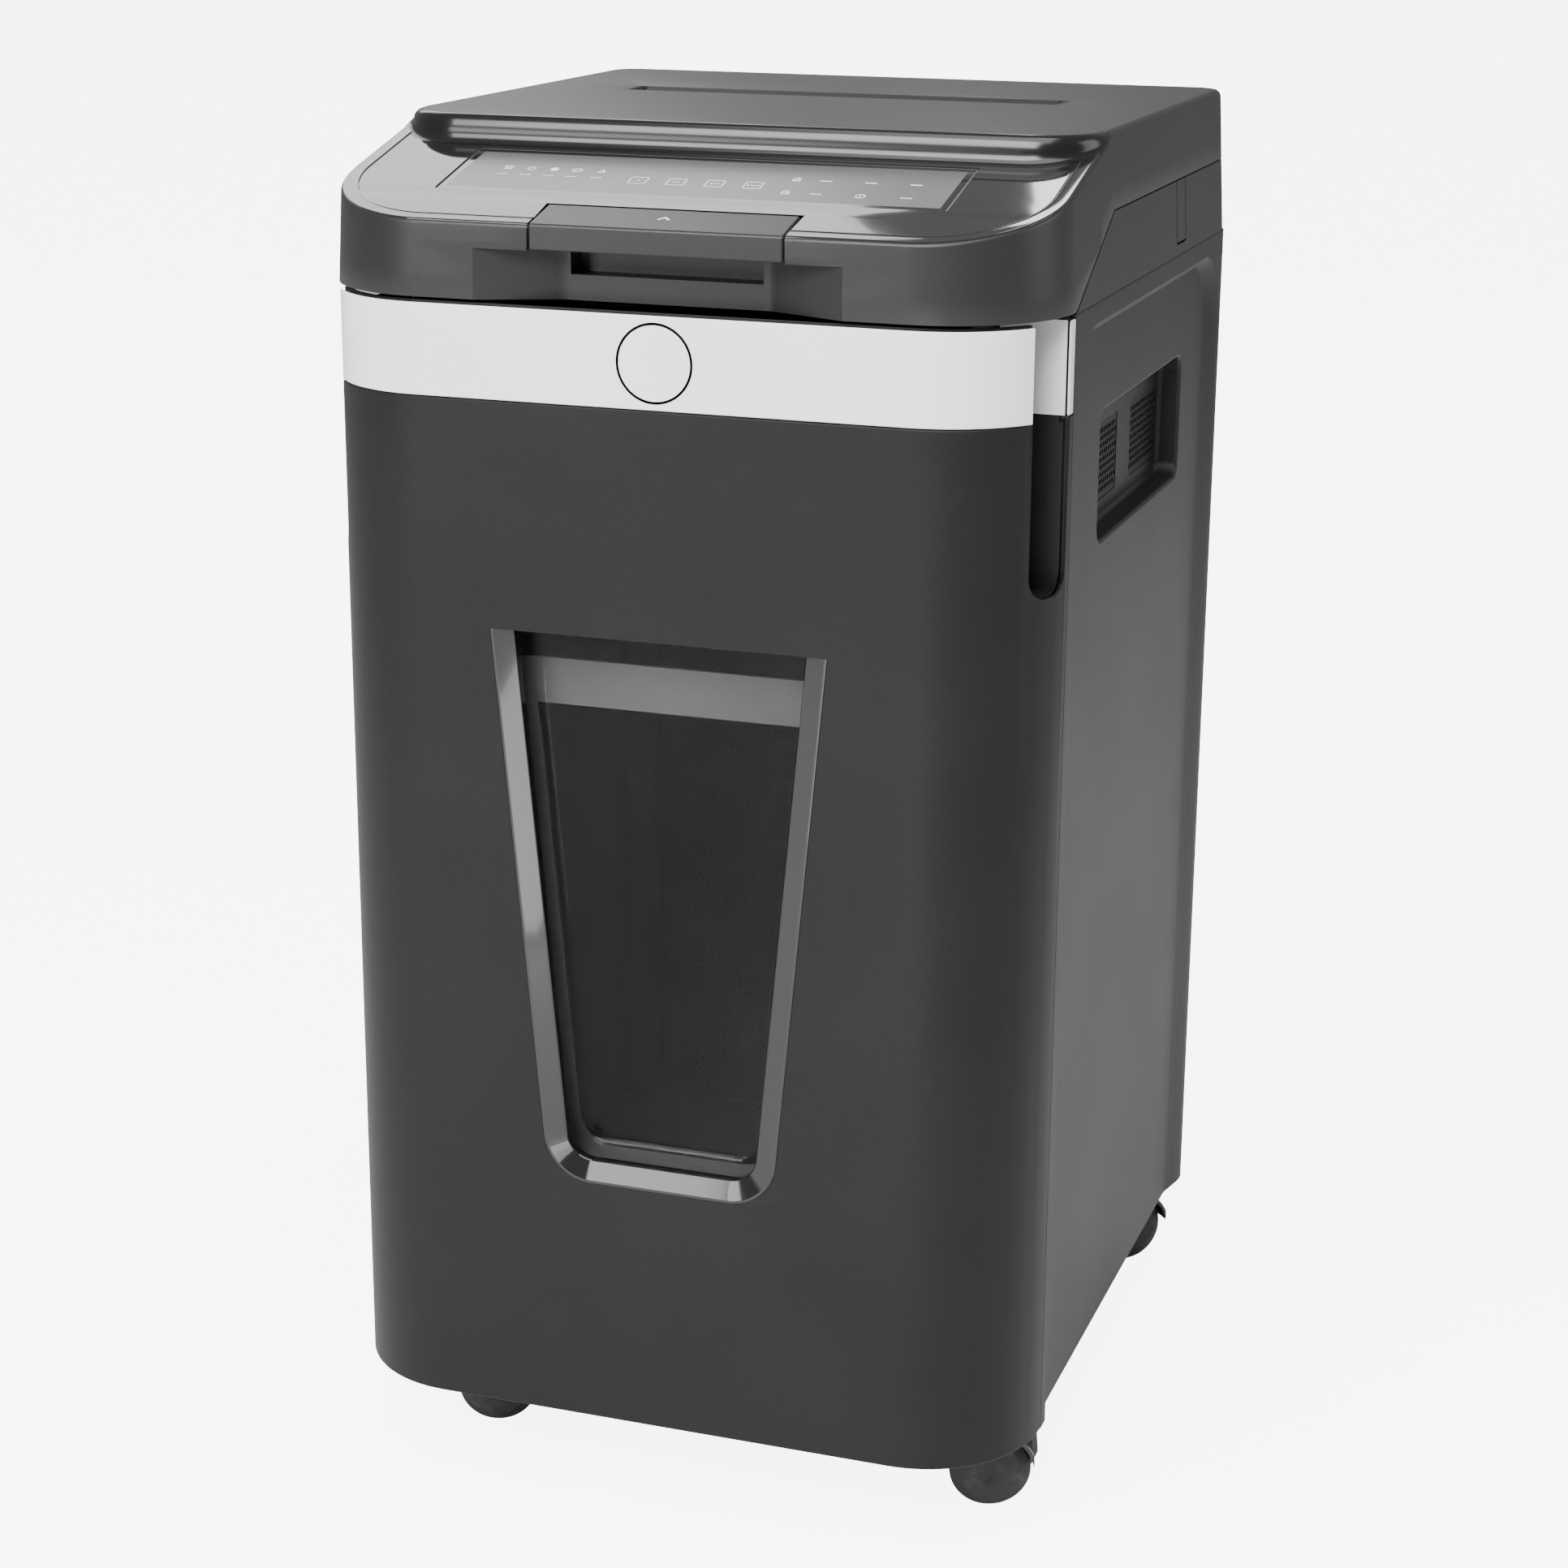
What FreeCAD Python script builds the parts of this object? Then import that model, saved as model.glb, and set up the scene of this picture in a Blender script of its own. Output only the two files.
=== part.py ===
"""Auto-feed paper shredder on casters, as an assembly of separate pieces.

Working frame: X to the right, Y back from the drawer's front face, Z up from the floor.
Every piece is moved at the end so that the origin is the centre of the footprint, on the floor.
All sizes are in millimetres.
"""
import FreeCAD
import Part
import math
import os

V = FreeCAD.Vector
AXIS_X = V(1, 0, 0)
AXIS_Y = V(0, 1, 0)
AXIS_Z = V(0, 0, 1)

# ---------------------------------------------------------------- overall sizes
WIDTH = 400.0                # side panel to side panel
DEPTH = 450.0                # drawer face to rear edge
FLOOR_GAP = 50.0             # floor to the cabinet's lower edge
CABINET_HEIGHT = 621.0       # lower edge to the top of the side panels
HEAD_HEIGHT = 42.5           # side panel top to the lid's split line
LID_RISE = 40.5              # split line to the roof
CORNER_R = 68.0              # front vertical corners, in plan
REAR_R = 14.0                # rear vertical corners, in plan
SEAM_FLAT = 0.6              # straight stretch between the front corner and the seam
SEAM_Y = CORNER_R + SEAM_FLAT    # drawer front meets side panel
SEAM_GAP = 0.8
LID_GAP = 1.0                # side panel top to the lid's lower edge
SHADOW_GAP = 2.0             # white band to the lid's lower edge

# ---------------------------------------------------------------- drawer front
SKIN = 4.0
BAND_HEIGHT = 48.0
BAND_THICK = 2.0
POCKET_FRONT_Y = 31.0        # where the front skin ends at the finger pocket
POCKET_REAR_Y = 62.0
POCKET_HEIGHT = 140.0
POCKET_WIDTH = 40.0
POCKET_WALL = 2.5
POCKET_END_R = 12.0
BADGE_R = 21.5
BADGE_SINK = 0.3             # badge's face behind the drawer's face
BOSS_R = 7.0                 # posts that carry the bin on the front

# ---------------------------------------------------------------- window
WINDOW_TOP = 450.0           # above the cabinet's lower edge
WINDOW_BOTTOM = 141.5
WINDOW_TOP_HALF = 93.4
WINDOW_TAPER = 0.0921        # sideways lean per unit of height
WINDOW_R = 28.0
BEZEL_WIDTH = 12.5
BEZEL_DEPTH = 3.2            # how far the bezel's inner edge lies behind the face
BEZEL_BACK = 9.0
PANE_DEPTH = 17.0            # depth of the clear tray behind the bezel
PANE_THICK = 2.0
PANE_FLANGE = 8.0

# ---------------------------------------------------------------- side panels
PANEL_THICK = 9.0
DISH_DEPTH = 5.0
DISH_SETBACK = 11.4          # dish behind the seam
DISH_FRONT_Y = SEAM_Y + DISH_SETBACK
DISH_REAR_EDGE = 14.0        # flush strip left at the rear
DISH_REAR_SLOPE = 32.0
DISH_TOP = 11.0              # below the panel's top
DISH_TOP_R = 46.0
DISH_LIP = 4.0
REAR_LIP = 30.0
VENT_Y = (153.0, 353.0)
VENT_LOW = 486.0             # above the cabinet's lower edge
VENT_HIGH = 557.0
VENT_DEPTH = 18.5
VENT_WALL = 3.0
VENT_R = 9.0
GRILLE_SIZE = (66.0, 44.0)
GRILLE_Y = (217.0, 316.0)
GRILLE_LOW = 497.0
GRILLE_THICK = 2.0
GRILLE_RIM = 4.0
MESH_PITCH = 4.8
MESH_HOLE = 1.9              # hexagon's corner radius

# ---------------------------------------------------------------- rear panel
REAR_INSET = 1.5             # rear panel's face in from the rear edge
REAR_THICK = 2.5
INLET_X = 140.0
INLET_RISE = 40.0            # above the mechanism bay's floor
ROCKER_RISE = 82.0
ROCKER_DEPTH = 4.0           # rocker's pivot behind the rear panel's face
ROCKER_TILT = 6.0            # degrees, at its off side
SCREW_R = 1.6
SCREW_HEAD_R = 3.5

# ---------------------------------------------------------------- lid
LID_WALL = 3.2
LID_DRAFT = 4.5              # how far the sides lean in, from the side panels' top to the roof
LID_FRONT_LEAN = 1.0
LID_REAR_LEAN = 2.0
LID_REAR_R = 18.0
DECK_RISE = 0.2586           # slope of the front deck
DECK_FRONT = 39.5            # deck's height at the front, above the lid's lower edge
DECK_EXTRA = 2.0             # extra thickness under the deck
STEP_Y = 110.0               # step from deck to roof
ROOF_R = 38.0
ROOF_EDGE_R = 4.0
DIAGONAL_Y = 155.0           # where the lid's diagonal side edge reaches the split line
GLOSS_INSET = 9.0
GLOSS_THICK = 1.5
TOUCH_HALF = 139.0
TOUCH_Y = (43.0, 103.0)
TOUCH_DROP = 0.8
TOUCH_THICK = 1.6
PIECE_GAP = 0.4              # between neighbouring pieces that do not move
HINGE_BACK = 3.5             # hinge axis in from the rear face
HINGE_RISE = 0.3             # hinge axis above the split line
HINGE_R = 3.2
HINGE_PIN_R = 1.6
HINGE_BEVEL = 4.0            # bevel of the lid's lower rear edge
HINGE_X = 130.0
HINGE_HALF = 20.0
HINGE_EAR = 6.0
RUN = 0.05                   # radial running clearance

# ---------------------------------------------------------------- lever and latch
LEVER_HALF = 68.0
LEVER_DEPTH = 28.0
LEVER_LOW = 26.5             # lever's underside above the lid's lower edge
LEVER_GAP = 1.5
LEVER_PIVOT = (26.0, 42.0)   # from the face, above the lid's lower edge
LEVER_PIN_R = 2.0
LEVER_PIN_REACH = 9.0
SCOOP_HALF = 98.5
SCOOP_INNER = 56.0
SCOOP_DEPTH = 18.0
SCOOP_BACK = 34.0
SCOOP_BAR = (1.0, 13.0)      # lower bar's height range above the lid's lower edge
LATCH_PIVOT = (50.0, 18.0)
LATCH_X = 45.0
LATCH_R = 3.0
HEAD_SETBACK = 7.4           # head's front wall behind the seam
HEAD_FRONT_Y = SEAM_Y + HEAD_SETBACK

# ---------------------------------------------------------------- paper path
SLOT_Y = 306.0
SLOT_HALF = 125.5
SLOT_WIDTH = 6.0
THROAT_HALF = 118.0
THROAT_WIDTH = 16.0          # passage through the pressure plates and the tray floor
FUNNEL_WIDTH = 24.0          # slot's mouth at the roof
FUNNEL_DEPTH = 4.0
LINER_WALL = 3.0             # lining's outer wall beyond the mouth
LINER_R = 4.0
TRAY_HALF = 127.0
TRAY_Y = (118.0, 418.0)
TRAY_FLOOR = 1.0             # tray floor's top, above the side panels' top
TRAY_THICK = 3.0
TRAY_FLANGE = 18.0
PLATE_Y_HALF = 68.0
PLATE_DROP = 17.0            # pressure plate's face below the lid's split line
PLATE_THICK = 3.0
PLATE_CORNER_R = 8.0
POST_R = 3.0                 # guide posts of the pressure plates
POST_REACH = 20.0            # posts above the lid's split line
SPRING_X = 104.0
SPRING_Y = 52.0
SPRING_TURN_R = 4.4
SPRING_WIRE = 0.8
SPRING_RINGS = 9

# ---------------------------------------------------------------- cutters and gears
CUTTER_PITCH_GAP = 42.0      # between the two cutter axes
CUTTER_DROP = 61.0           # cutter axes below the side panels' top
DISC_R = 24.2
CORE_R = 17.3
DISC_PITCH = 6.0
DISC_THICK = 2.6
DISC_NOTCHES = 3
SHAFT_R = 8.0
CUTTER_PLATE_X = 134.0
CUTTER_PLATE_THICK = 5.0
CUTTER_PLATE_Y_HALF = 56.0
BUSH_R = 11.0
ROD_R = 5.0
FEED_SHAFT_R = 4.0
FEED_ROLLER_R = 17.0
FEED_OFFSET = 30.0           # feed roller axes from the slot's centre
FEED_GEAR_TEETH = 16
FEED_GEAR_MODULE = 1.5
SYNC_TEETH = 21
DRIVE_TEETH = 36
DRIVE_MODULE = 2.0
IDLER_SMALL_TEETH = 14
IDLER_BIG_TEETH = 52
MOTOR_TEETH = 13
MOTOR_MODULE = 1.25
GEAR_THICK = 10.0
GEAR_SPACE = 2.0
BACKLASH = 0.12
PRESSURE_ANGLE = math.radians(20)

# ---------------------------------------------------------------- mechanism bay
BAY_FLOOR = 470.0            # support deck's underside above the cabinet's lower edge
DECK_THICK = 6.0
CHUTE_DROP = 20.0
MOTOR_R = 38.0
MOTOR_LENGTH = 122.0
MOTOR_SHAFT_R = 4.0
STUD_R = 4.0
FAN_SIZE = 60.0
FAN_THICK = 25.0
FAN_SPACE = 6.0              # from the cutter's side plate
FAN_RISE = 4.0               # above the mechanism bay's floor
FAN_BLADES = 7

# ---------------------------------------------------------------- bin
TUB_HALF = 179.0
TUB_FRONT_Y = 26.0
TUB_REAR_GAP = 42.0          # from the tub to the rear face
TUB_BASE = 20.3              # tub's underside above the cabinet's lower edge
TUB_TOP = 430.0
TUB_WALL = 2.5
TUB_RIM = 25.0
TUB_R = 22.0
BASE_RISE = 12.0             # base plate above the cabinet's lower edge
BASE_THICK = 3.0
BASE_FRONT_Y = 40.0

# ---------------------------------------------------------------- casters
WHEEL_R = 23.0
WHEEL_THICK = 14.0
WHEEL_SPACE = 10.0
CASTER_TRAIL = 20.0
CASTER_X = 150.0
CASTER_FRONT_Y = 70.0
CASTER_REAR = 48.0           # rear swivel axes in from the rear face
CASTER_FRONT_ANGLE = 20.0
CASTER_REAR_ANGLE = 42.0
SWIVEL_R = 5.0
AXLE_R = 3.0
HOOD_GAP = 1.0
HOOD_WALL = 2.0
PEDAL_BEHIND = 21.0          # pedal pin behind the wheel axle
PEDAL_RISE = 14.0            # pedal pin above the wheel axle

# ---------------------------------------------------------------- derived places
HALF = WIDTH / 2
CAB_LOW = FLOOR_GAP
CAB_TOP = CAB_LOW + CABINET_HEIGHT
LID_LOW = CAB_TOP + LID_GAP
SPLIT_Z = CAB_TOP + HEAD_HEIGHT
ROOF_Z = SPLIT_Z + LID_RISE
FRONT_TOP = LID_LOW - SHADOW_GAP
INNER = HALF - PANEL_THICK
BAY_Z = CAB_LOW + BAY_FLOOR + DECK_THICK
CUT_Z = CAB_TOP - CUTTER_DROP
CUT_FRONT_Y = SLOT_Y - CUTTER_PITCH_GAP / 2
CUT_REAR_Y = SLOT_Y + CUTTER_PITCH_GAP / 2
PLATE_OUT = CUTTER_PLATE_X + CUTTER_PLATE_THICK
TRAY_TOP = CAB_TOP + TRAY_FLOOR
FEED_FRONT_Y = SLOT_Y - FEED_OFFSET
FEED_REAR_Y = SLOT_Y + FEED_OFFSET
FEED_SPAN = 2 * FEED_GEAR_MODULE * FEED_GEAR_TEETH
FEED_SHIFT = FEED_OFFSET - CUTTER_PITCH_GAP / 2
FEED_Z = CUT_Z + math.sqrt(FEED_SPAN ** 2 - FEED_SHIFT ** 2)
IDLER_Y = CUT_FRONT_Y - DRIVE_MODULE * (DRIVE_TEETH + IDLER_SMALL_TEETH) / 2
MOTOR_Y = IDLER_Y - MOTOR_MODULE * (IDLER_BIG_TEETH + MOTOR_TEETH) / 2
SYNC_X = PLATE_OUT + GEAR_SPACE
DRIVE_X = SYNC_X + GEAR_THICK + GEAR_SPACE
MOTOR_GEAR_X = DRIVE_X + GEAR_THICK + GEAR_SPACE
MOTOR_GEAR_THICK = 7.0
FEED_GEAR_X = -(PLATE_OUT + GEAR_SPACE + GEAR_THICK)
HINGE_Y = DEPTH - HINGE_BACK
HINGE_Z = SPLIT_Z + HINGE_RISE
PLATE_Z = SPLIT_Z - PLATE_DROP
TUB_REAR_Y = DEPTH - TUB_REAR_GAP
AXLE_Z = WHEEL_R
TOUCH_LOW = TOUCH_DROP + TOUCH_THICK
REAR_FACE = DEPTH - REAR_INSET
INLET_Z = BAY_Z + INLET_RISE
ROCKER_Z = BAY_Z + ROCKER_RISE
ROCKER_Y = REAR_FACE - ROCKER_DEPTH
FAN_X = -(PLATE_OUT + FAN_SPACE + FAN_THICK)
FAN_Y = GRILLE_Y[0]
FAN_Z = BAY_Z + FAN_RISE + FAN_SIZE / 2
PEDAL_X = CASTER_TRAIL + PEDAL_BEHIND
PEDAL_Z = AXLE_Z + PEDAL_RISE


# ---------------------------------------------------------------- drawing helpers
def place(plane, u, v, level):
    """Point (u, v) of a plane at a level along the plane's normal."""
    if plane == "xy":
        return V(u, v, level)
    if plane == "yz":
        return V(level, u, v)
    return V(u, level, v)


def normal(plane):
    """Direction in which a slab of the plane is extruded."""
    return {"xy": V(0, 0, 1), "yz": V(1, 0, 0), "xz": V(0, 1, 0)}[plane]


def outline(plane, corners, level):
    """Closed wire through corners (u, v, radius); each corner is a tangent arc of that radius."""
    count = len(corners)
    bends = []
    for i in range(count):
        here = V(corners[i][0], corners[i][1], 0)
        before = V(corners[i - 1][0], corners[i - 1][1], 0) - here
        after = V(corners[(i + 1) % count][0], corners[(i + 1) % count][1], 0) - here
        before.normalize()
        after.normalize()
        radius = corners[i][2] if len(corners[i]) > 2 else 0.0
        if radius <= 0:
            bends.append((here, None, here))
            continue
        half = before.getAngle(after) / 2
        middle = before + after
        middle.normalize()
        reach = radius / math.tan(half)
        depth = radius / math.sin(half) - radius
        bends.append((here + before * reach, here + middle * depth, here + after * reach))
    edges = []
    for i in range(count):
        start, middle, stop = bends[i]
        following = bends[(i + 1) % count][0]
        ends = [place(plane, p.x, p.y, level) for p in (start, stop, following)]
        if middle is not None:
            top = place(plane, middle.x, middle.y, level)
            edges.append(Part.Arc(ends[0], top, ends[1]).toShape())
        if stop.distanceToPoint(following) > 1e-6:
            edges.append(Part.LineSegment(ends[1], ends[2]).toShape())
    return Part.Wire(edges)


def slab(plane, corners, low, high, holes=()):
    """Solid of an outline, with optional hole outlines, between two levels."""
    wires = [outline(plane, corners, low)]
    wires += [outline(plane, hole, low) for hole in holes]
    if holes:
        face = Part.makeFace(wires, "Part::FaceMakerBullseye")
    else:
        face = Part.Face(wires[0])
    return face.extrude(normal(plane) * (high - low))


def loft(plane, low_corners, low, high_corners, high):
    """Solid that blends one outline into another of the same make-up."""
    wires = [outline(plane, low_corners, low), outline(plane, high_corners, high)]
    return Part.makeLoft(wires, True, True)


def box(x, y, z):
    """Block between two corners, each axis given as (low, high)."""
    return Part.makeBox(x[1] - x[0], y[1] - y[0], z[1] - z[0], V(x[0], y[0], z[0]))


def rod(axis, start, radius, length):
    """Round bar from a start point along +axis."""
    return Part.makeCylinder(radius, length, V(*start), axis)


def rectangle(u, v, radius=0.0):
    """Corners of a rectangle, each axis given as (low, high), with one corner radius."""
    return [(u[0], v[0], radius), (u[1], v[0], radius), (u[1], v[1], radius), (u[0], v[1], radius)]


def fused(shapes):
    """One solid out of touching shapes."""
    shapes = list(shapes)
    if len(shapes) == 1:
        return shapes[0]
    return shapes[0].multiFuse(shapes[1:]).removeSplitter()


def both_sides(shape):
    """The shape and its mirror image across the centre plane."""
    return [shape, shape.mirror(V(0, 0, 0), V(1, 0, 0))]


# ---------------------------------------------------------------- shared outlines
def plan(inset, rear=None):
    """Corners of the machine's plan outline, moved inwards by inset."""
    back = DEPTH - inset if rear is None else rear
    rear_r = max(REAR_R - inset, 0.0) if rear is None else 0.0
    half = HALF - inset
    front_r = CORNER_R - inset
    return [(-half, inset, front_r), (half, inset, front_r), (half, back, rear_r), (-half, back, rear_r)]


def window_corners(inset, top_inset=0.0):
    """Trapezoid of the window, moved inwards by inset at the sides and bottom."""
    lean = math.hypot(1.0, WINDOW_TAPER)
    top = CAB_LOW + WINDOW_TOP - top_inset
    low = CAB_LOW + WINDOW_BOTTOM + inset
    top_half = WINDOW_TOP_HALF - inset * lean - WINDOW_TAPER * top_inset
    low_half = top_half - WINDOW_TAPER * (top - low)
    radius = WINDOW_R - 0.9 * inset
    return [(-low_half, low, radius), (low_half, low, radius), (top_half, top, 0), (-top_half, top, 0)]


def deck_height(y):
    """Height of the lid's sloped front deck at a distance behind the face."""
    return LID_LOW + DECK_FRONT + DECK_RISE * y


def under_deck(drop, y_low=-5.0, y_high=DEPTH + 5.0):
    """Everything below the deck plane lowered by drop."""
    floor = CAB_LOW
    corners = [(y_low, floor), (y_high, floor), (y_high, deck_height(y_high) - drop),
               (y_low, deck_height(y_low) - drop)]
    return slab("yz", corners, -HALF - 5, HALF + 5)


def drafted(inset, low):
    """Head's outer form: the plan outline leaning in towards the roof, moved inwards by inset."""
    sections = []
    for z in (low, ROOF_Z - inset):
        rise = (z - CAB_TOP) / (ROOF_Z - CAB_TOP)
        half = HALF - inset - LID_DRAFT * rise
        front = inset + LID_FRONT_LEAN * rise
        back = DEPTH - inset - LID_REAR_LEAN * rise
        radius = CORNER_R - inset
        sections.append([(-half, front, radius), (half, front, radius), (half, back, LID_REAR_R),
                         (-half, back, LID_REAR_R)])
    return loft("xy", sections[0], low, sections[1], ROOF_Z - inset)


def roof_block(inset):
    """Raised rear part of the lid, behind the step."""
    corners = [(-HALF, STEP_Y + inset, ROOF_R - inset), (HALF, STEP_Y + inset, ROOF_R - inset),
               (HALF, DEPTH + 5), (-HALF, DEPTH + 5)]
    return slab("xy", corners, CAB_LOW, ROOF_Z + 5)


def lid_form(inset, low):
    """Lid's form moved inwards by inset: low sloped deck in front, flat roof behind."""
    extra = inset + (DECK_EXTRA if inset else 0.0)
    front_part = drafted(inset, low).common(under_deck(extra))
    rear_part = drafted(inset, low).common(roof_block(inset))
    return front_part.fuse(rear_part).removeSplitter()


# ---------------------------------------------------------------- cabinet
def base_tray():
    low = CAB_LOW + BASE_RISE
    half = INNER - 2.5
    back = DEPTH - PANEL_THICK - 1
    corners = [(-half, BASE_FRONT_Y, 22), (half, BASE_FRONT_Y, 22), (half, back), (-half, back)]
    plate = slab("xy", corners, low, low + BASE_THICK)
    flange = box((INNER - 4.5, INNER), (SEAM_Y + 4, back - 4), (low, low + 18))
    return fused([plate] + both_sides(flange))


def vent_corners(grow):
    low = CAB_LOW + VENT_LOW - grow
    high = CAB_LOW + VENT_HIGH + grow
    return rectangle((VENT_Y[0] - grow, VENT_Y[1] + grow), (low, high), VENT_R + grow)


def grille_corners(centre_y, grow):
    low = CAB_LOW + GRILLE_LOW - grow
    half = GRILLE_SIZE[0] / 2 + grow
    return rectangle((centre_y - half, centre_y + half), (low, low + GRILLE_SIZE[1] + 2 * grow), 3.0)


def side_panel():
    """Right-hand panel with its shallow dish, vent pocket and wrapped rear edge."""
    front = SEAM_Y + SEAM_GAP
    inner_y = DEPTH - PANEL_THICK
    corners = [(HALF, front), (HALF, DEPTH, REAR_R), (HALF - REAR_LIP, DEPTH), (HALF - REAR_LIP, inner_y + 5),
               (INNER, inner_y, 3), (INNER, front)]
    wall = slab("xy", corners, CAB_LOW, CAB_TOP)
    pocket_back = HALF - VENT_DEPTH - VENT_WALL
    wall = wall.fuse(slab("yz", vent_corners(VENT_WALL), pocket_back, INNER + 1))
    rear = DEPTH - DISH_REAR_EDGE
    top = CAB_TOP - DISH_TOP
    below = CAB_LOW - 5
    outer = [(DISH_FRONT_Y, below), (rear, below), (rear, top, DISH_TOP_R), (DISH_FRONT_Y, top, DISH_TOP_R)]
    floor_rear = rear - DISH_REAR_SLOPE
    floor_front = DISH_FRONT_Y + DISH_LIP
    floor_top = top - DISH_LIP
    radius = DISH_TOP_R - DISH_LIP
    inner = [(floor_front, below), (floor_rear, below), (floor_rear, floor_top, radius),
             (floor_front, floor_top, radius)]
    wall = wall.cut(loft("yz", inner, HALF - DISH_DEPTH, outer, HALF))
    wall = wall.cut(slab("yz", vent_corners(0), HALF - VENT_DEPTH, HALF + 1))
    for centre in GRILLE_Y:
        wall = wall.cut(slab("yz", grille_corners(centre, 0), pocket_back - 1, HALF))
    return wall


def mesh_holes(centre_y):
    """Corners of the hexagonal holes of one grille, in staggered rows."""
    low = CAB_LOW + GRILLE_LOW
    rows = int((GRILLE_SIZE[1] - 3) / (MESH_PITCH * 0.866))
    columns = int((GRILLE_SIZE[0] - 3) / MESH_PITCH)
    holes = []
    for row in range(rows):
        v = low + GRILLE_SIZE[1] / 2 + (row - (rows - 1) / 2) * MESH_PITCH * 0.866
        shift = MESH_PITCH / 4 if row % 2 else -MESH_PITCH / 4
        for column in range(columns):
            u = centre_y + (column - (columns - 1) / 2) * MESH_PITCH + shift
            turns = [math.radians(30 + 60 * k) for k in range(6)]
            holes.append([(u + MESH_HOLE * math.cos(t), v + MESH_HOLE * math.sin(t)) for t in turns])
    return holes


def side_grilles():
    """Two hexagonal mesh inserts for each side, clipped into the vent pocket's floor."""
    face = HALF - VENT_DEPTH - 0.4
    back = HALF - VENT_DEPTH - VENT_WALL
    pieces = []
    for centre in GRILLE_Y:
        holes = mesh_holes(centre)
        mesh = slab("yz", grille_corners(centre, -0.2), face - GRILLE_THICK, face, holes)
        sleeve = slab("yz", grille_corners(centre, -0.2), back - 2, face - GRILLE_THICK,
                      [grille_corners(centre, -2.2)])
        rim = slab("yz", grille_corners(centre, GRILLE_RIM), back - 2, back, [grille_corners(centre, -2.2)])
        pieces.append(fused([mesh, sleeve, rim]))
    return [side for piece in pieces for side in both_sides(piece)]


def screw_places():
    half = HALF - REAR_LIP - 9
    heights = [CAB_LOW + 20, CAB_LOW + 0.34 * CABINET_HEIGHT, CAB_LOW + 0.67 * CABINET_HEIGHT, CAB_TOP - 20]
    return [(side * half, z) for z in heights for side in (-1, 1)]


def rear_panel():
    half = HALF - REAR_LIP - 0.3
    plate = slab("xz", rectangle((-half, half), (CAB_LOW, CAB_TOP)), REAR_FACE - REAR_THICK, REAR_FACE)
    cuts = []
    for i in range(7):
        z = CAB_TOP - 120 + 9 * i
        cuts.append(slab("xz", rectangle((-60, 60), (z, z + 4), 1.9), REAR_FACE - 5, REAR_FACE + 1))
    inlet = rectangle((INLET_X - 14, INLET_X + 14), (INLET_Z - 11, INLET_Z + 11))
    cuts.append(slab("xz", inlet, REAR_FACE - 5, REAR_FACE + 1))
    rocker = rectangle((INLET_X - 11, INLET_X + 11), (ROCKER_Z - 14, ROCKER_Z + 14))
    cuts.append(slab("xz", rocker, REAR_FACE - 5, REAR_FACE + 1))
    for x, z in screw_places():
        cuts.append(rod(AXIS_Y, (x, REAR_FACE - 5, z), SCREW_R, 8))
    return plate.cut(Part.makeCompound(cuts))


def case_screws():
    screws = []
    for x, z in screw_places():
        shank = rod(AXIS_Y, (x, REAR_FACE - 9, z), SCREW_R, 9)
        head = rod(AXIS_Y, (x, REAR_FACE, z), SCREW_HEAD_R, 1.4)
        slot_a = box((x - 2.2, x + 2.2), (REAR_FACE + 0.7, REAR_FACE + 2), (z - 0.4, z + 0.4))
        slot_b = box((x - 0.4, x + 0.4), (REAR_FACE + 0.7, REAR_FACE + 2), (z - 2.2, z + 2.2))
        screws.append(fused([shank, head]).cut(slot_a).cut(slot_b))
    return screws


def drawer_rails():
    low = CAB_LOW + BASE_RISE + BASE_THICK
    corners = [(TUB_HALF - 22, low), (INNER - 4.5, low), (INNER - 4.5, low + 18), (TUB_HALF + 1, low + 18),
               (TUB_HALF + 1, low + 5), (TUB_HALF - 22, low + 5)]
    rail = slab("xz", corners, SEAM_Y + 6, DEPTH - 20)
    return both_sides(rail)


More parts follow.
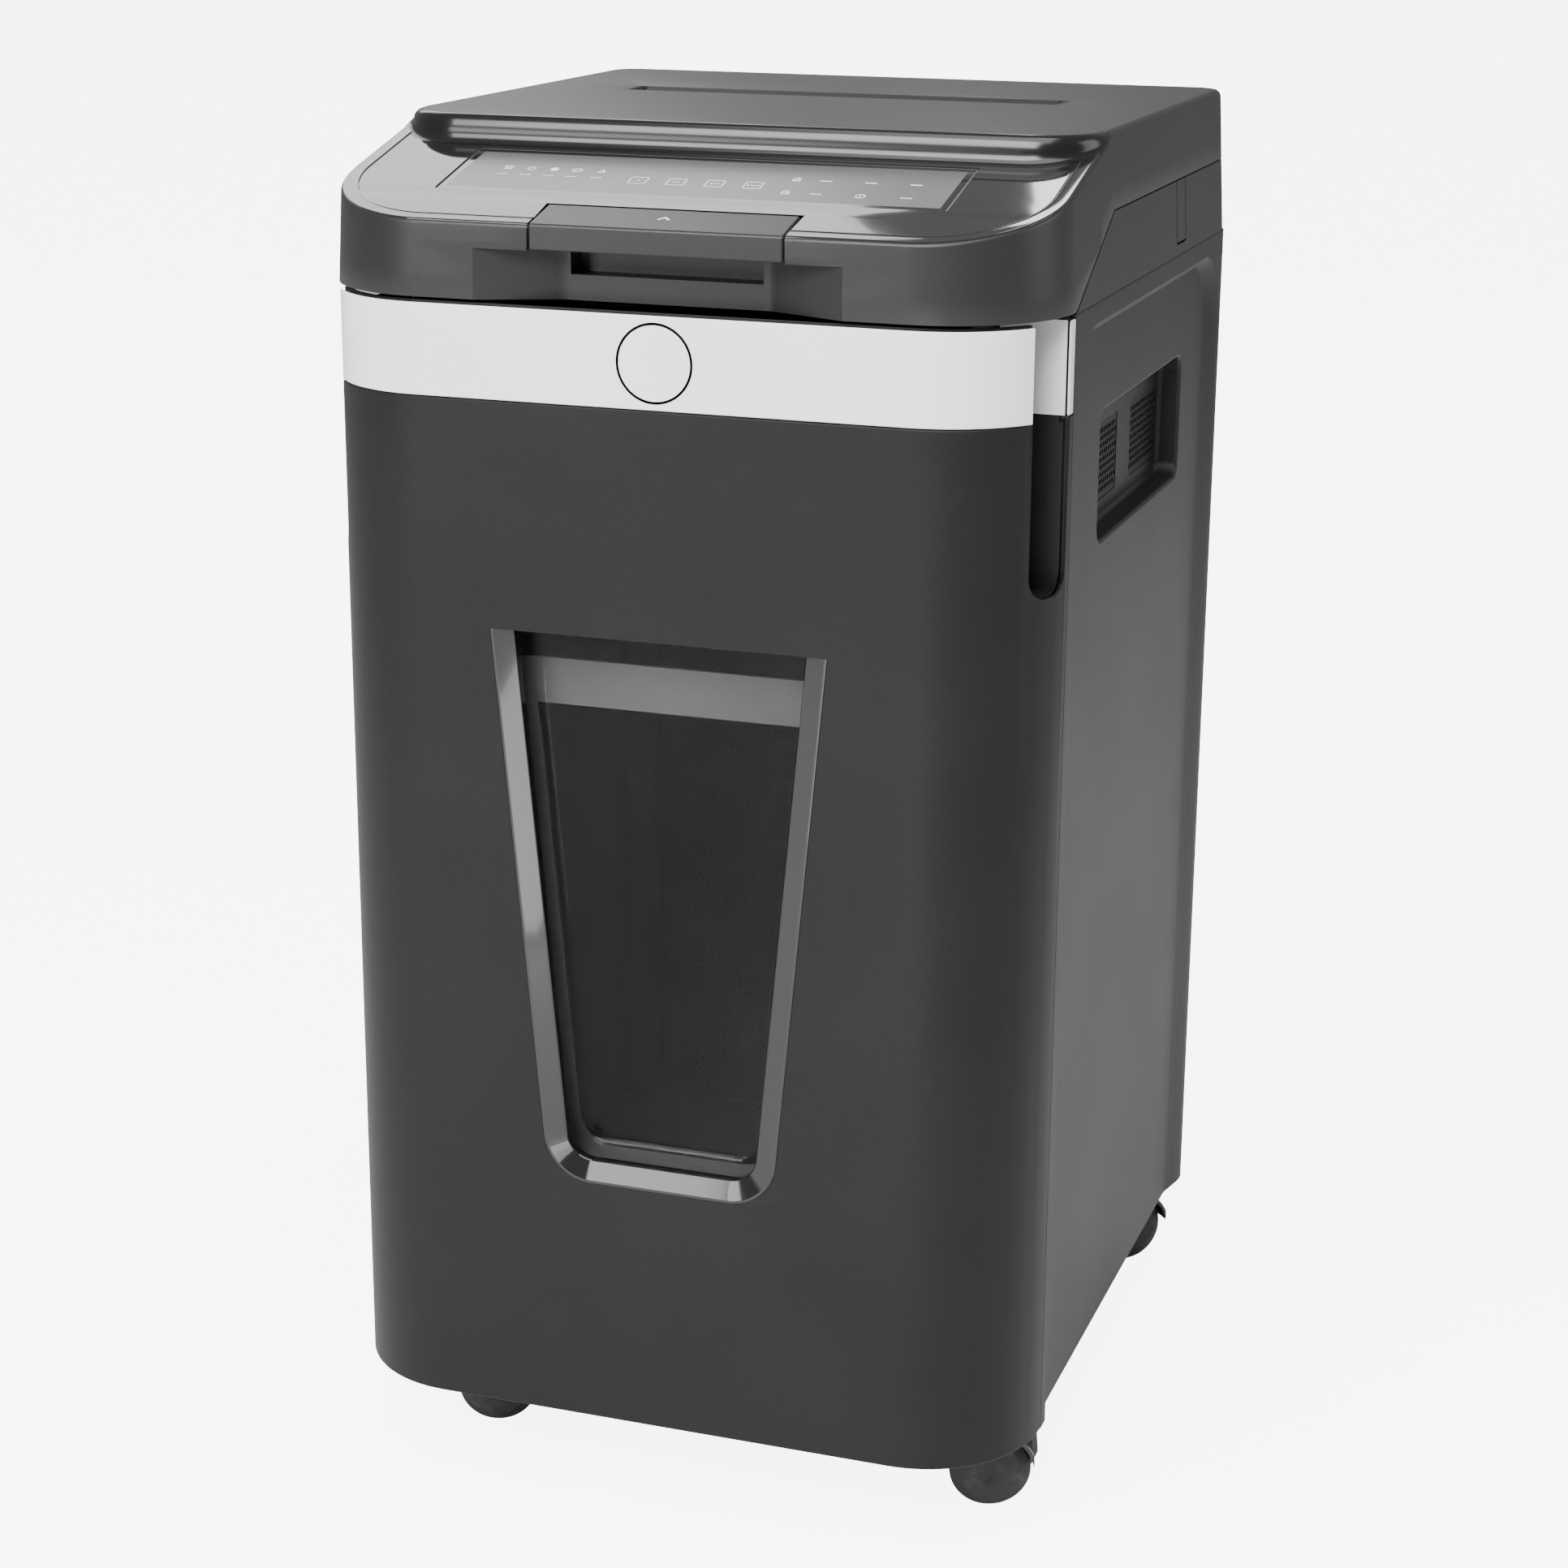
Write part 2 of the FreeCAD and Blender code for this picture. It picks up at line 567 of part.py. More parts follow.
# ---------------------------------------------------------------- head housing and feed tray
def head_housing():
    """Fixed upper housing: side cheeks below the lid's diagonal edge and a deck for the feed tray."""
    low = CAB_TOP
    gap = LID_GAP * 0.8
    cheek = [(SEAM_Y + SEAM_GAP + 1, low), (DEPTH + 5, low), (DEPTH + 5, SPLIT_Z - gap),
             (DIAGONAL_Y + gap, SPLIT_Z - gap)]
    form = drafted(0, low).common(slab("yz", cheek, -HALF - 5, HALF + 5))
    inner_half = HALF - LID_DRAFT - LID_WALL - 1.5
    middle = box((-inner_half, inner_half), (HEAD_FRONT_Y, DEPTH - 12), (low, SPLIT_Z - 2.5))
    above = box((-inner_half, inner_half), (HEAD_FRONT_Y, DEPTH - 12), (SPLIT_Z - 2.5, SPLIT_Z + 1))
    body = form.cut(above).fuse(middle)
    wall = inner_half - 3
    body = body.cut(box((-wall, wall), (HEAD_FRONT_Y + 3, DEPTH - 14), (low - 1, SPLIT_Z - 5.5)))
    body = body.cut(box((-inner_half, inner_half), (SEAM_Y, HEAD_FRONT_Y), (low - 1, SPLIT_Z)))
    opening = rectangle((-TRAY_HALF - 4, TRAY_HALF + 4), (TRAY_Y[0] - 4, TRAY_Y[1] + 4), 6)
    body = body.cut(slab("xy", opening, low - 1, SPLIT_Z + 1))
    for side in (-1, 1):
        x = side * HINGE_X
        body = body.cut(box((x - HINGE_HALF - 0.5, x + HINGE_HALF + 0.5), (HINGE_Y - HINGE_R - 1, DEPTH + 1),
                            (SPLIT_Z - 8, SPLIT_Z + 1)))
        groove = box((HALF - 3.2, HALF + 1), (SLOT_Y, SLOT_Y + 24), (low + 6, SPLIT_Z + 1))
        ridge = box((HALF - 3.4, HALF + 1), (SLOT_Y + 1.2, SLOT_Y + 22.8), (low + 7.2, SPLIT_Z + 1))
        trim = groove.cut(ridge)
        body = body.cut(trim if side > 0 else trim.mirror(V(0, 0, 0), V(1, 0, 0)))
        lug_low = LID_LOW + LATCH_PIVOT[1] - 6
        lug = box((side * LATCH_X - 5, side * LATCH_X + 5), (HEAD_FRONT_Y - 2.5, HEAD_FRONT_Y),
                  (lug_low, lug_low + 6))
        body = body.fuse(lug)
    return body.removeSplitter()


def throat_y(width):
    """Span along Y of a passage of a given width, centred on the slot."""
    return (SLOT_Y - width / 2, SLOT_Y + width / 2)


def roller_windows(grow):
    """Plan rectangles (x, y) through which the feed rollers reach the tray."""
    places = []
    for y in (FEED_FRONT_Y, FEED_REAR_Y):
        for x in (-75.0, -25.0, 25.0, 75.0):
            places.append(((x - 15 - grow, x + 15 + grow), (y - FEED_ROLLER_R - grow, y + FEED_ROLLER_R + grow)))
    return places


def feed_tray():
    floor_low = TRAY_TOP - TRAY_THICK
    flange_top = SPLIT_Z - 0.5
    outer = rectangle((-TRAY_HALF - 3, TRAY_HALF + 3), (TRAY_Y[0] - 3, TRAY_Y[1] + 3), 5)
    inner = rectangle((-TRAY_HALF, TRAY_HALF), (TRAY_Y[0], TRAY_Y[1]), 3)
    tub = slab("xy", outer, floor_low, flange_top).cut(slab("xy", inner, TRAY_TOP, flange_top + 1))
    rim = rectangle((-TRAY_HALF - TRAY_FLANGE, TRAY_HALF + TRAY_FLANGE),
                    (TRAY_Y[0] - TRAY_FLANGE, TRAY_Y[1] + 12), 10)
    flange = slab("xy", rim, SPLIT_Z - 2.5, flange_top, [inner])
    body = fused([tub, flange])
    slot = rectangle((-THROAT_HALF, THROAT_HALF), throat_y(THROAT_WIDTH), 2)
    body = body.cut(slab("xy", slot, floor_low - 1, TRAY_TOP + 1))
    for x, y in roller_windows(1.5):
        body = body.cut(box(x, y, (floor_low - 1, TRAY_TOP + 1)))
    notch = rectangle((-24, 24), (TRAY_Y[1] - 1, TRAY_Y[1] + 4), 1)
    return body.cut(slab("xy", notch, TRAY_TOP + 14, flange_top - 4))


# ---------------------------------------------------------------- lid
def lid_shell():
    """Moulded lid: drafted sides, sloped front deck, step and roof, open underneath."""
    outer = lid_form(0, LID_LOW)
    roof_edges = [edge for edge in outer.Edges if min(v.Z for v in edge.Vertexes) > ROOF_Z - 0.001]
    outer = outer.makeFillet(ROOF_EDGE_R, roof_edges)
    body = outer.cut(lid_form(LID_WALL, CAB_LOW + 10))
    below = [(SEAM_Y + SEAM_GAP, CAB_LOW), (DEPTH + 5, CAB_LOW), (DEPTH + 5, SPLIT_Z), (DIAGONAL_Y, SPLIT_Z),
             (SEAM_Y + SEAM_GAP, LID_LOW)]
    body = body.cut(slab("yz", below, -HALF - 5, HALF + 5))
    bevel = [(DEPTH - HINGE_BEVEL * 2, SPLIT_Z - 1), (DEPTH + 5, SPLIT_Z - 1), (DEPTH + 5, SPLIT_Z + HINGE_BEVEL),
             (DEPTH, SPLIT_Z + HINGE_BEVEL), (DEPTH - HINGE_BEVEL * 2, SPLIT_Z)]
    body = body.cut(slab("yz", bevel, -HALF - 5, HALF + 5))
    for side in (-1, 1):
        x = side * HINGE_X
        body = body.cut(box((x - HINGE_HALF - 0.5, x + HINGE_HALF + 0.5), (HINGE_Y - HINGE_R - 1, DEPTH + 1),
                            (SPLIT_Z - 1, HINGE_Z + HINGE_R + 0.6)))
    body = body.cut(gloss_region(0))
    body = body.cut(touch_region(0))
    notch_half = LEVER_HALF + LEVER_GAP
    lever_low = LID_LOW + LEVER_LOW
    body = body.fuse(lever_cheeks())
    body = body.cut(box((-notch_half, notch_half), (-1, LEVER_DEPTH + LEVER_GAP),
                        (lever_low - LEVER_GAP, ROOF_Z)))
    body = body.cut(box((-SCOOP_HALF - 0.2, SCOOP_HALF + 0.2), (-1, LID_WALL + 6), (LID_LOW - 1, lever_low - 0.3)))
    for pin in lever_pins(RUN, LEVER_PIN_REACH + 1):
        body = body.cut(pin)
    frame = rectangle((-SLOT_HALF - 12, SLOT_HALF + 12), throat_y(FUNNEL_WIDTH + 16), LINER_R)
    body = body.fuse(slab("xy", frame, ROOF_Z - 6.5, ROOF_Z - 1))
    body = body.cut(slab("xy", liner_outline(PIECE_GAP / 2), ROOF_Z - 10, ROOF_Z + 1))
    for side in (-1, 1):
        body = body.fuse(lid_knuckle(side * HINGE_X))
        body = body.fuse(latch_ear(side * (LATCH_X + 18)))
        for y in (SLOT_Y - SPRING_Y, SLOT_Y + SPRING_Y):
            sleeve = rod(AXIS_Z, (side * SPRING_X, y, SPLIT_Z + 14), 5, ROOF_Z - SPLIT_Z - 16)
            body = body.fuse(sleeve.cut(rod(AXIS_Z, (side * SPRING_X, y, SPLIT_Z), 3.2, ROOF_Z - SPLIT_Z - 4)))
    return body.removeSplitter()


def gloss_region(gap):
    """Layer of the deck that the glossy cover fills."""
    inset = GLOSS_INSET + gap
    half = HALF - inset
    radius = CORNER_R - inset
    corners = [(-half, inset, radius), (half, inset, radius), (half, STEP_Y + 30), (-half, STEP_Y + 30)]
    layer = slab("xy", corners, LID_LOW, ROOF_Z).common(under_deck(0)).cut(under_deck(GLOSS_THICK))
    layer = layer.common(drafted(GLOSS_INSET * 0.6 + gap, LID_LOW))
    return layer.cut(roof_block(-gap))


def touch_region(gap):
    """Layer of the deck that the touch panel fills."""
    x = (-TOUCH_HALF + gap, TOUCH_HALF - gap)
    y = (TOUCH_Y[0] + gap, TOUCH_Y[1] - gap)
    block = slab("xy", rectangle(x, y, 2), LID_LOW, ROOF_Z)
    drop = TOUCH_DROP if gap else -1.0
    return block.common(under_deck(drop)).cut(under_deck(TOUCH_LOW))


def lever_pins(grow, reach):
    """Stub pins of the lift lever, one on each side."""
    y, rise = LEVER_PIVOT
    pin = rod(AXIS_X, (LEVER_HALF - 4, y, LID_LOW + rise), LEVER_PIN_R + grow, reach)
    return both_sides(pin)


def lever_cheeks():
    """Small walls beside the lever that carry its pins, inside the lid's front."""
    cheek = box((LEVER_HALF + LEVER_GAP, LEVER_HALF + 6), (LID_WALL - 0.5, LEVER_DEPTH + 8),
                (LID_LOW + LEVER_LOW, LID_LOW + 60)).common(under_deck(GLOSS_THICK + 1))
    return Part.makeCompound(both_sides(cheek))


def lid_knuckle(x):
    """Bored hinge barrel hanging from the lid's rear wall."""
    reach = HINGE_HALF - HINGE_EAR - 1
    barrel = rod(AXIS_X, (x - reach, HINGE_Y, HINGE_Z), HINGE_R, 2 * reach)
    arm = box((x - reach, x + reach), (HINGE_Y - HINGE_R, HINGE_Y + 1.0), (HINGE_Z, HINGE_Z + 14))
    barrel = barrel.fuse(arm)
    return barrel.cut(rod(AXIS_X, (x - reach - 1, HINGE_Y, HINGE_Z), HINGE_PIN_R + RUN, 2 * reach + 2))


def latch_ear(x):
    """Plate under the deck with a bore for the latch bar."""
    y, rise = LATCH_PIVOT
    z = LID_LOW + rise
    plate = box((x - 2, x + 2), (y - 7, y + 7), (z, z + 40)).fuse(rod(AXIS_X, (x - 2, y, z), 7, 4))
    return plate.common(under_deck(LID_WALL)).cut(rod(AXIS_X, (x - 3, y, z), LATCH_R + RUN, 6))


def gloss_panel():
    body = gloss_region(PIECE_GAP)
    body = body.cut(box((-LEVER_HALF - 3, LEVER_HALF + 3), (-1, LEVER_DEPTH + 3), (LID_LOW, ROOF_Z)))
    window = rectangle((-TOUCH_HALF - 0.2, TOUCH_HALF + 0.2), (TOUCH_Y[0] - 0.2, TOUCH_Y[1] + 0.2), 2)
    return body.cut(slab("xy", window, LID_LOW, ROOF_Z))


def liner_outline(grow):
    """Corners of the lining's outer wall in plan."""
    half = SLOT_HALF + FUNNEL_DEPTH + LINER_WALL + grow
    return rectangle((-half, half), throat_y(FUNNEL_WIDTH + 2 * (LINER_WALL + grow)), LINER_R)


def slot_liner():
    """Lining of the hand-feed slot: two long jaws with a funnelled mouth, and two end pieces."""
    low = SPLIT_Z + 4
    block = slab("xy", liner_outline(0), low, ROOF_Z)
    y_low, y_high = throat_y(FUNNEL_WIDTH + 2 * LINER_WALL)
    mouth = FUNNEL_WIDTH / 2
    throat = SLOT_WIDTH / 2
    funnel_z = ROOF_Z - FUNNEL_DEPTH
    half = SLOT_HALF + FUNNEL_DEPTH + LINER_WALL
    pieces = []
    for side in (-1, 1):
        edge = y_low if side < 0 else y_high
        section = [(edge, low), (SLOT_Y + side * throat, low), (SLOT_Y + side * throat, funnel_z),
                   (SLOT_Y + side * mouth, ROOF_Z), (edge, ROOF_Z)]
        pieces.append(block.common(slab("yz", section, -SLOT_HALF, SLOT_HALF)))
        start, stop = (SLOT_HALF, half) if side > 0 else (-half, -SLOT_HALF)
        end = block.common(box((start, stop), (y_low, y_high), (low, ROOF_Z)))
        slope = [(side * SLOT_HALF, funnel_z), (side * SLOT_HALF, ROOF_Z + 1),
                 (side * (SLOT_HALF + FUNNEL_DEPTH), ROOF_Z + 1), (side * (SLOT_HALF + FUNNEL_DEPTH), ROOF_Z)]
        pieces.append(end.cut(slab("xz", slope, SLOT_Y - mouth, SLOT_Y + mouth)))
    return pieces


def grip_scoop():
    """Insert under the lever: scooped ends, a finger cavity and a lower bar."""
    top = LID_LOW + LEVER_LOW - 0.6
    low = LID_LOW
    half = SCOOP_HALF
    block = box((-half, half), (0, SCOOP_BACK), (low, top))
    bend = [(-half, -2), (half, -2), (half, 0), (SCOOP_INNER, SCOOP_DEPTH, 14), (-SCOOP_INNER, SCOOP_DEPTH, 14),
            (-half, 0)]
    block = block.cut(slab("xy", bend, low - 1, top + 1))
    inner = half - 3
    block = block.cut(box((SCOOP_INNER + 3, inner), (SCOOP_DEPTH + 3, SCOOP_BACK + 1), (low + 2, top - 2)))
    block = block.cut(box((-inner, -SCOOP_INNER - 3), (SCOOP_DEPTH + 3, SCOOP_BACK + 1), (low + 2, top - 2)))
    cavity = SCOOP_INNER - 4
    bar_top = low + SCOOP_BAR[1]
    block = block.cut(box((-cavity, cavity), (SCOOP_DEPTH - 1, SCOOP_BACK - 2), (bar_top, top + 1)))
    return block.cut(box((-cavity, cavity), (SCOOP_DEPTH + 2.5, SCOOP_BACK + 1), (low - 1, bar_top - 2.5)))


def lift_lever():
    """Plate that lifts the latch, flush with the deck, on two stub pins."""
    low = LID_LOW + LEVER_LOW
    block = box((-LEVER_HALF, LEVER_HALF), (0, LEVER_DEPTH), (low, ROOF_Z)).common(under_deck(0))
    hollow = box((-LEVER_HALF + 3, LEVER_HALF - 3), (4, LEVER_DEPTH - 5), (low - 1, low + 6))
    stop = box((-4, 4), (16, 22), (low - 3.0, low + 7))
    pins = lever_pins(0, LEVER_PIN_REACH)
    return fused([block.cut(hollow), stop] + pins)


def latch_hooks():
    """Cross bar with two hooks that reach for the housing's lugs."""
    y, rise = LATCH_PIVOT
    z = LID_LOW + rise
    reach = LATCH_X + 21
    bar = rod(AXIS_X, (-reach, y, z), LATCH_R, 2 * reach)
    tip = HEAD_FRONT_Y - 3.1
    pieces = [bar]
    for side in (-1, 1):
        x = side * LATCH_X
        corners = [(y - 5, z + 5, 3), (y + 5, z + 5, 3), (y + 7, z - 9, 2), (tip - 5, z - 9, 1),
                   (tip - 3, z - 6.8, 0.5), (tip, z - 6.8, 0.5), (tip, z - 14, 2), (y - 1, z - 14, 4)]
        pieces.append(slab("yz", corners, x - 3, x + 3))
    return fused(pieces)


def pressure_plate():
    """Two sprung plates that hold the stack on the feed rollers; hand-fed sheets pass between them."""
    plates = []
    for side in (-1, 1):
        edges = sorted((SLOT_Y + side * THROAT_WIDTH / 2, SLOT_Y + side * PLATE_Y_HALF))
        corners = rectangle((-TRAY_HALF + 3, TRAY_HALF - 3), edges, PLATE_CORNER_R)
        pieces = [slab("xy", corners, PLATE_Z, PLATE_Z + PLATE_THICK)]
        for x in (-SPRING_X, SPRING_X):
            post = (x, SLOT_Y + side * SPRING_Y, PLATE_Z)
            pieces.append(rod(AXIS_Z, post, POST_R, SPLIT_Z + POST_REACH - PLATE_Z))
        plates.append(fused(pieces))
    return plates


def plate_springs():
    """Rings that stand for the turns of four compression springs around the guide posts."""
    low = PLATE_Z + PLATE_THICK + SPRING_WIRE
    high = SPLIT_Z + 14 - SPRING_WIRE - 0.2
    rings = []
    for x in (-SPRING_X, SPRING_X):
        for y in (SLOT_Y - SPRING_Y, SLOT_Y + SPRING_Y):
            for i in range(SPRING_RINGS):
                z = low + (high - low) * i / (SPRING_RINGS - 1)
                rings.append(Part.makeTorus(SPRING_TURN_R, SPRING_WIRE, V(x, y, z), AXIS_Z))
    return rings


def hinge_brackets():
    """Fixed hinge ears with their pins, set into the housing's rear edge."""
    brackets = []
    for side in (-1, 1):
        x = side * HINGE_X
        foot = box((x - HINGE_HALF, x + HINGE_HALF), (HINGE_Y - HINGE_R, DEPTH - 0.5), (SPLIT_Z - 8, SPLIT_Z - 5))
        pieces = [foot, rod(AXIS_X, (x - HINGE_HALF, HINGE_Y, HINGE_Z), HINGE_PIN_R, 2 * HINGE_HALF)]
        for start in (x - HINGE_HALF, x + HINGE_HALF - HINGE_EAR):
            pieces.append(rod(AXIS_X, (start, HINGE_Y, HINGE_Z), HINGE_R - 0.3, HINGE_EAR))
            pieces.append(box((start, start + HINGE_EAR), (HINGE_Y - HINGE_R + 0.3, HINGE_Y + HINGE_R - 0.3),
                              (SPLIT_Z - 6, HINGE_Z)))
        brackets.append(fused(pieces))
    return brackets


# ---------------------------------------------------------------- drawer
def front_ring(outer_inset, inner_inset, low, high):
    """Part of the wrapped drawer front between two insets and two heights."""
    outer = slab("xy", plan(outer_inset, SEAM_Y), low, high)
    return outer.cut(slab("xy", plan(inner_inset, SEAM_Y + 1), low - 1, high + 1))


def pocket_opening():
    """Slot in the drawer front's corner through which fingers reach the pocket."""
    low = FRONT_TOP - POCKET_HEIGHT
    corners = [(POCKET_FRONT_Y, low, POCKET_END_R), (POCKET_REAR_Y, low, POCKET_END_R),
               (POCKET_REAR_Y, FRONT_TOP + 3), (POCKET_FRONT_Y, FRONT_TOP + 3)]
    return slab("yz", corners, HALF - POCKET_WIDTH + 2, HALF + 2)


def bin_front():
    """Wrapped front of the drawer with the window opening and a finger pocket at each corner."""
    body = front_ring(0, SKIN, CAB_LOW, FRONT_TOP)
    pocket_low = FRONT_TOP - POCKET_HEIGHT
    inner_x = HALF - POCKET_WIDTH
    inside = slab("xy", plan(SKIN * 0.5, SEAM_Y), CAB_LOW, FRONT_TOP)
    cup = box((inner_x - POCKET_WALL, HALF), (SKIN * 0.5, POCKET_REAR_Y + POCKET_WALL),
              (pocket_low - POCKET_WALL, FRONT_TOP)).common(inside)
    hollow = box((inner_x, HALF), (0, POCKET_REAR_Y), (pocket_low, FRONT_TOP + 1))
    hollow = hollow.common(slab("xy", plan(SKIN, SEAM_Y), CAB_LOW, FRONT_TOP + 1))
    opening = pocket_opening()
    body = fused([body] + both_sides(cup))
    body = body.cut(Part.makeCompound(both_sides(hollow)))
    body = body.cut(Part.makeCompound(both_sides(opening)))
    band_low = FRONT_TOP - 1 - BAND_HEIGHT
    body = body.cut(front_ring(-1, BAND_THICK, band_low, FRONT_TOP - 1))
    body = body.cut(Part.makeCompound(both_sides(band_return(0.0))))
    body = body.cut(slab("xz", window_corners(0), -1, SKIN + 1))
    for x in (-TUB_HALF + 45, TUB_HALF - 45):
        for z in (CAB_LOW + 60, CAB_LOW + TUB_TOP - 18):
            body = body.fuse(rod(AXIS_Y, (x, SKIN - 0.5, z), BOSS_R, TUB_FRONT_Y - SKIN + 0.5))
    return body.removeSplitter()


def band_return(gap):
    """White lining of the pocket's rear wall, with the strip beside the seam."""
    low = FRONT_TOP - 1 - BAND_HEIGHT + gap
    high = FRONT_TOP - 1 - gap
    inner_x = HALF - POCKET_WIDTH
    plate = box((inner_x + 1, HALF + 1), (POCKET_REAR_Y - 0.01, POCKET_REAR_Y + 1.4), (low, high))
    strip = box((HALF - BAND_THICK, HALF + 1), (POCKET_REAR_Y - 0.01, SEAM_Y), (low, high))
    return fused([plate, strip]).common(slab("xy", plan(0, SEAM_Y), CAB_LOW, FRONT_TOP))


def front_band():
    """White band around the drawer front, with its two returns at the finger pockets."""
    low = FRONT_TOP - 1 - BAND_HEIGHT + 0.3
    high = FRONT_TOP - 1
    ring = front_ring(0, BAND_THICK, low, high)
    beyond = box((-HALF - 1, HALF + 1), (POCKET_FRONT_Y, SEAM_Y + 2), (low - 1, high + 1))
    middle = FRONT_TOP - 1 - BAND_HEIGHT / 2
    seat = rod(AXIS_Y, (0, -1, middle), BADGE_R + 0.2, BAND_THICK + 2)
    return [ring.cut(beyond).cut(seat)] + both_sides(band_return(0.0))


def badge():
    """Plain disc on the band with a raised rim and a sheet-into-strips emblem."""
    z = FRONT_TOP - 1 - BAND_HEIGHT / 2
    disc = rod(AXIS_Y, (0, BADGE_SINK, z), BADGE_R, BAND_THICK - BADGE_SINK)
    groove = rod(AXIS_Y, (0, 0, z), BADGE_R - 1.5, BADGE_SINK + 0.3)
    groove = groove.cut(rod(AXIS_Y, (0, -1, z), BADGE_R - 2.3, 4))
    raised = (0, BADGE_SINK + 0.1)
    sheet = box((-7.5, 7.5), raised, (z + 1, z + 12))
    strips = [box((x - 1.1, x + 1.1), raised, (z - 12, z - 1.5)) for x in (-6.4, -2.1, 2.1, 6.4)]
    return fused([disc.cut(groove), sheet] + strips)


def window_bezel():
    """Glossy frame of the window, its face sloping in on three sides."""
    outer = slab("xz", window_corners(0.3, 0.3), 0.4, BEZEL_BACK)
    slope = loft("xz", window_corners(0.9, -2), 0.3, window_corners(BEZEL_WIDTH, -2), BEZEL_DEPTH + 0.4)
    through = slab("xz", window_corners(BEZEL_WIDTH, -2), BEZEL_DEPTH, BEZEL_BACK + 1)
    return outer.cut(slope).cut(through)


def window_pane():
    """Clear tray behind the bezel: flange, return walls and a flat face."""
    front = BEZEL_BACK + 0.1
    flange_outer = window_corners(BEZEL_WIDTH - PANE_FLANGE, PANE_FLANGE * 0.5)
    inset = BEZEL_WIDTH + 0.3
    mouth = window_corners(inset + PANE_THICK, PANE_FLANGE)
    flange = slab("xz", flange_outer, front, front + PANE_THICK, [mouth])
    back = SKIN + PANE_DEPTH
    walls = slab("xz", window_corners(inset, PANE_FLANGE - 2), front, back, [mouth])
    face = slab("xz", window_corners(inset, PANE_FLANGE - 2), back - PANE_THICK, back)
    return fused([flange, walls, face])


def bin_tub():
    """Waste bin: thin walls, a stiff rim and a front opening behind the window."""
    low = CAB_LOW + TUB_BASE
    top = CAB_LOW + TUB_TOP
    outer = rectangle((-TUB_HALF + 2, TUB_HALF - 2), (TUB_FRONT_Y, TUB_REAR_Y), TUB_R)
    inner_half = TUB_HALF - 2 - TUB_WALL
    inner = rectangle((-inner_half, inner_half), (TUB_FRONT_Y + TUB_WALL, TUB_REAR_Y - TUB_WALL), TUB_R - TUB_WALL)
    body = slab("xy", outer, low, top).cut(slab("xy", inner, low + TUB_WALL, top + 1))
    rim_outer = rectangle((-TUB_HALF, TUB_HALF), (TUB_FRONT_Y, TUB_REAR_Y + 2), TUB_R)
    body = body.fuse(slab("xy", rim_outer, top - TUB_RIM, top, [inner]))
    view = window_corners(BEZEL_WIDTH - 1, WINDOW_TOP - TUB_TOP + TUB_RIM)
    return body.cut(slab("xz", view, TUB_FRONT_Y - 1, TUB_FRONT_Y + TUB_WALL + 1)).removeSplitter()


# ---------------------------------------------------------------- gears
def gear(teeth, module, thick, x, centre, first_tooth, bore):
    """Involute spur gear about an X axis, with one tooth centred on the angle first_tooth."""
    pitch_r = teeth * module / 2
    base_r = pitch_r * math.cos(PRESSURE_ANGLE)
    tip_r = pitch_r + module * 0.95
    root_r = pitch_r - module * 1.25
    flat = math.tan(PRESSURE_ANGLE) - PRESSURE_ANGLE
    half_pitch = math.pi / (2 * teeth) - BACKLASH / (2 * pitch_r)
    start_r = max(base_r, root_r + 0.05)
    flank = []
    for i in range(5):
        radius = start_r + (tip_r - start_r) * i / 4
        lean = math.acos(base_r / radius)
        flank.append((radius, half_pitch + flat - (math.tan(lean) - lean)))
    corners = []
    for tooth in range(teeth):
        middle = first_tooth + 2 * math.pi * tooth / teeth
        rising = [(root_r, flank[0][1])] + flank
        for radius, half in rising:
            corners.append((centre[0] + radius * math.cos(middle - half),
                            centre[1] + radius * math.sin(middle - half)))
        for radius, half in reversed(rising):
            corners.append((centre[0] + radius * math.cos(middle + half),
                            centre[1] + radius * math.sin(middle + half)))
    body = slab("yz", corners, x, x + thick)
    return body.cut(rod(AXIS_X, (x - 1, centre[0], centre[1]), bore, thick + 2))


def gap_phase(teeth, towards):
    """First tooth's angle that leaves a tooth gap facing the given direction."""
    return towards + math.pi / teeth


# ---------------------------------------------------------------- cutters and drive
def disc_face(y, z, turn):
    """Corners of one cutting disc: a circle of short chords with hook notches."""
    corners = []
    for notch in range(DISC_NOTCHES):
        start = turn + 2 * math.pi * notch / DISC_NOTCHES
        for i in range(12):
            angle = start + 2 * math.pi / DISC_NOTCHES * (0.1 + 0.9 * i / 11)
            corners.append((y + DISC_R * math.cos(angle), z + DISC_R * math.sin(angle)))
        corners.append((y + (DISC_R - 4.5) * math.cos(angle), z + (DISC_R - 4.5) * math.sin(angle)))
    return corners


def cutter(y, first, count, right_end, left_end):
    """Hardened cutter: core with discs at an even pitch, between two journals."""
    discs = []
    for i in range(count):
        x = first + DISC_PITCH * i
        turn = math.radians(4 * i)
        discs.append(slab("yz", disc_face(y, CUT_Z, turn), x - DISC_THICK / 2, x + DISC_THICK / 2))
    core_half = CUTTER_PLATE_X - 3
    core = rod(AXIS_X, (-core_half, y, CUT_Z), CORE_R, 2 * core_half)
    shaft = rod(AXIS_X, (left_end, y, CUT_Z), SHAFT_R, right_end - left_end)
    return core.multiFuse(discs + [shaft])


def disc_count():
    return int(2 * (THROAT_HALF - 1) / DISC_PITCH) + 1


def cutter_front():
    count = disc_count()
    first = -DISC_PITCH * (count - 1) / 2
    return cutter(CUT_FRONT_Y, first, count, DRIVE_X + GEAR_THICK, FEED_GEAR_X)


def cutter_rear():
    count = disc_count() - 1
    first = -DISC_PITCH * (count - 1) / 2
    return cutter(CUT_REAR_Y, first, count, SYNC_X + GEAR_THICK, FEED_GEAR_X)


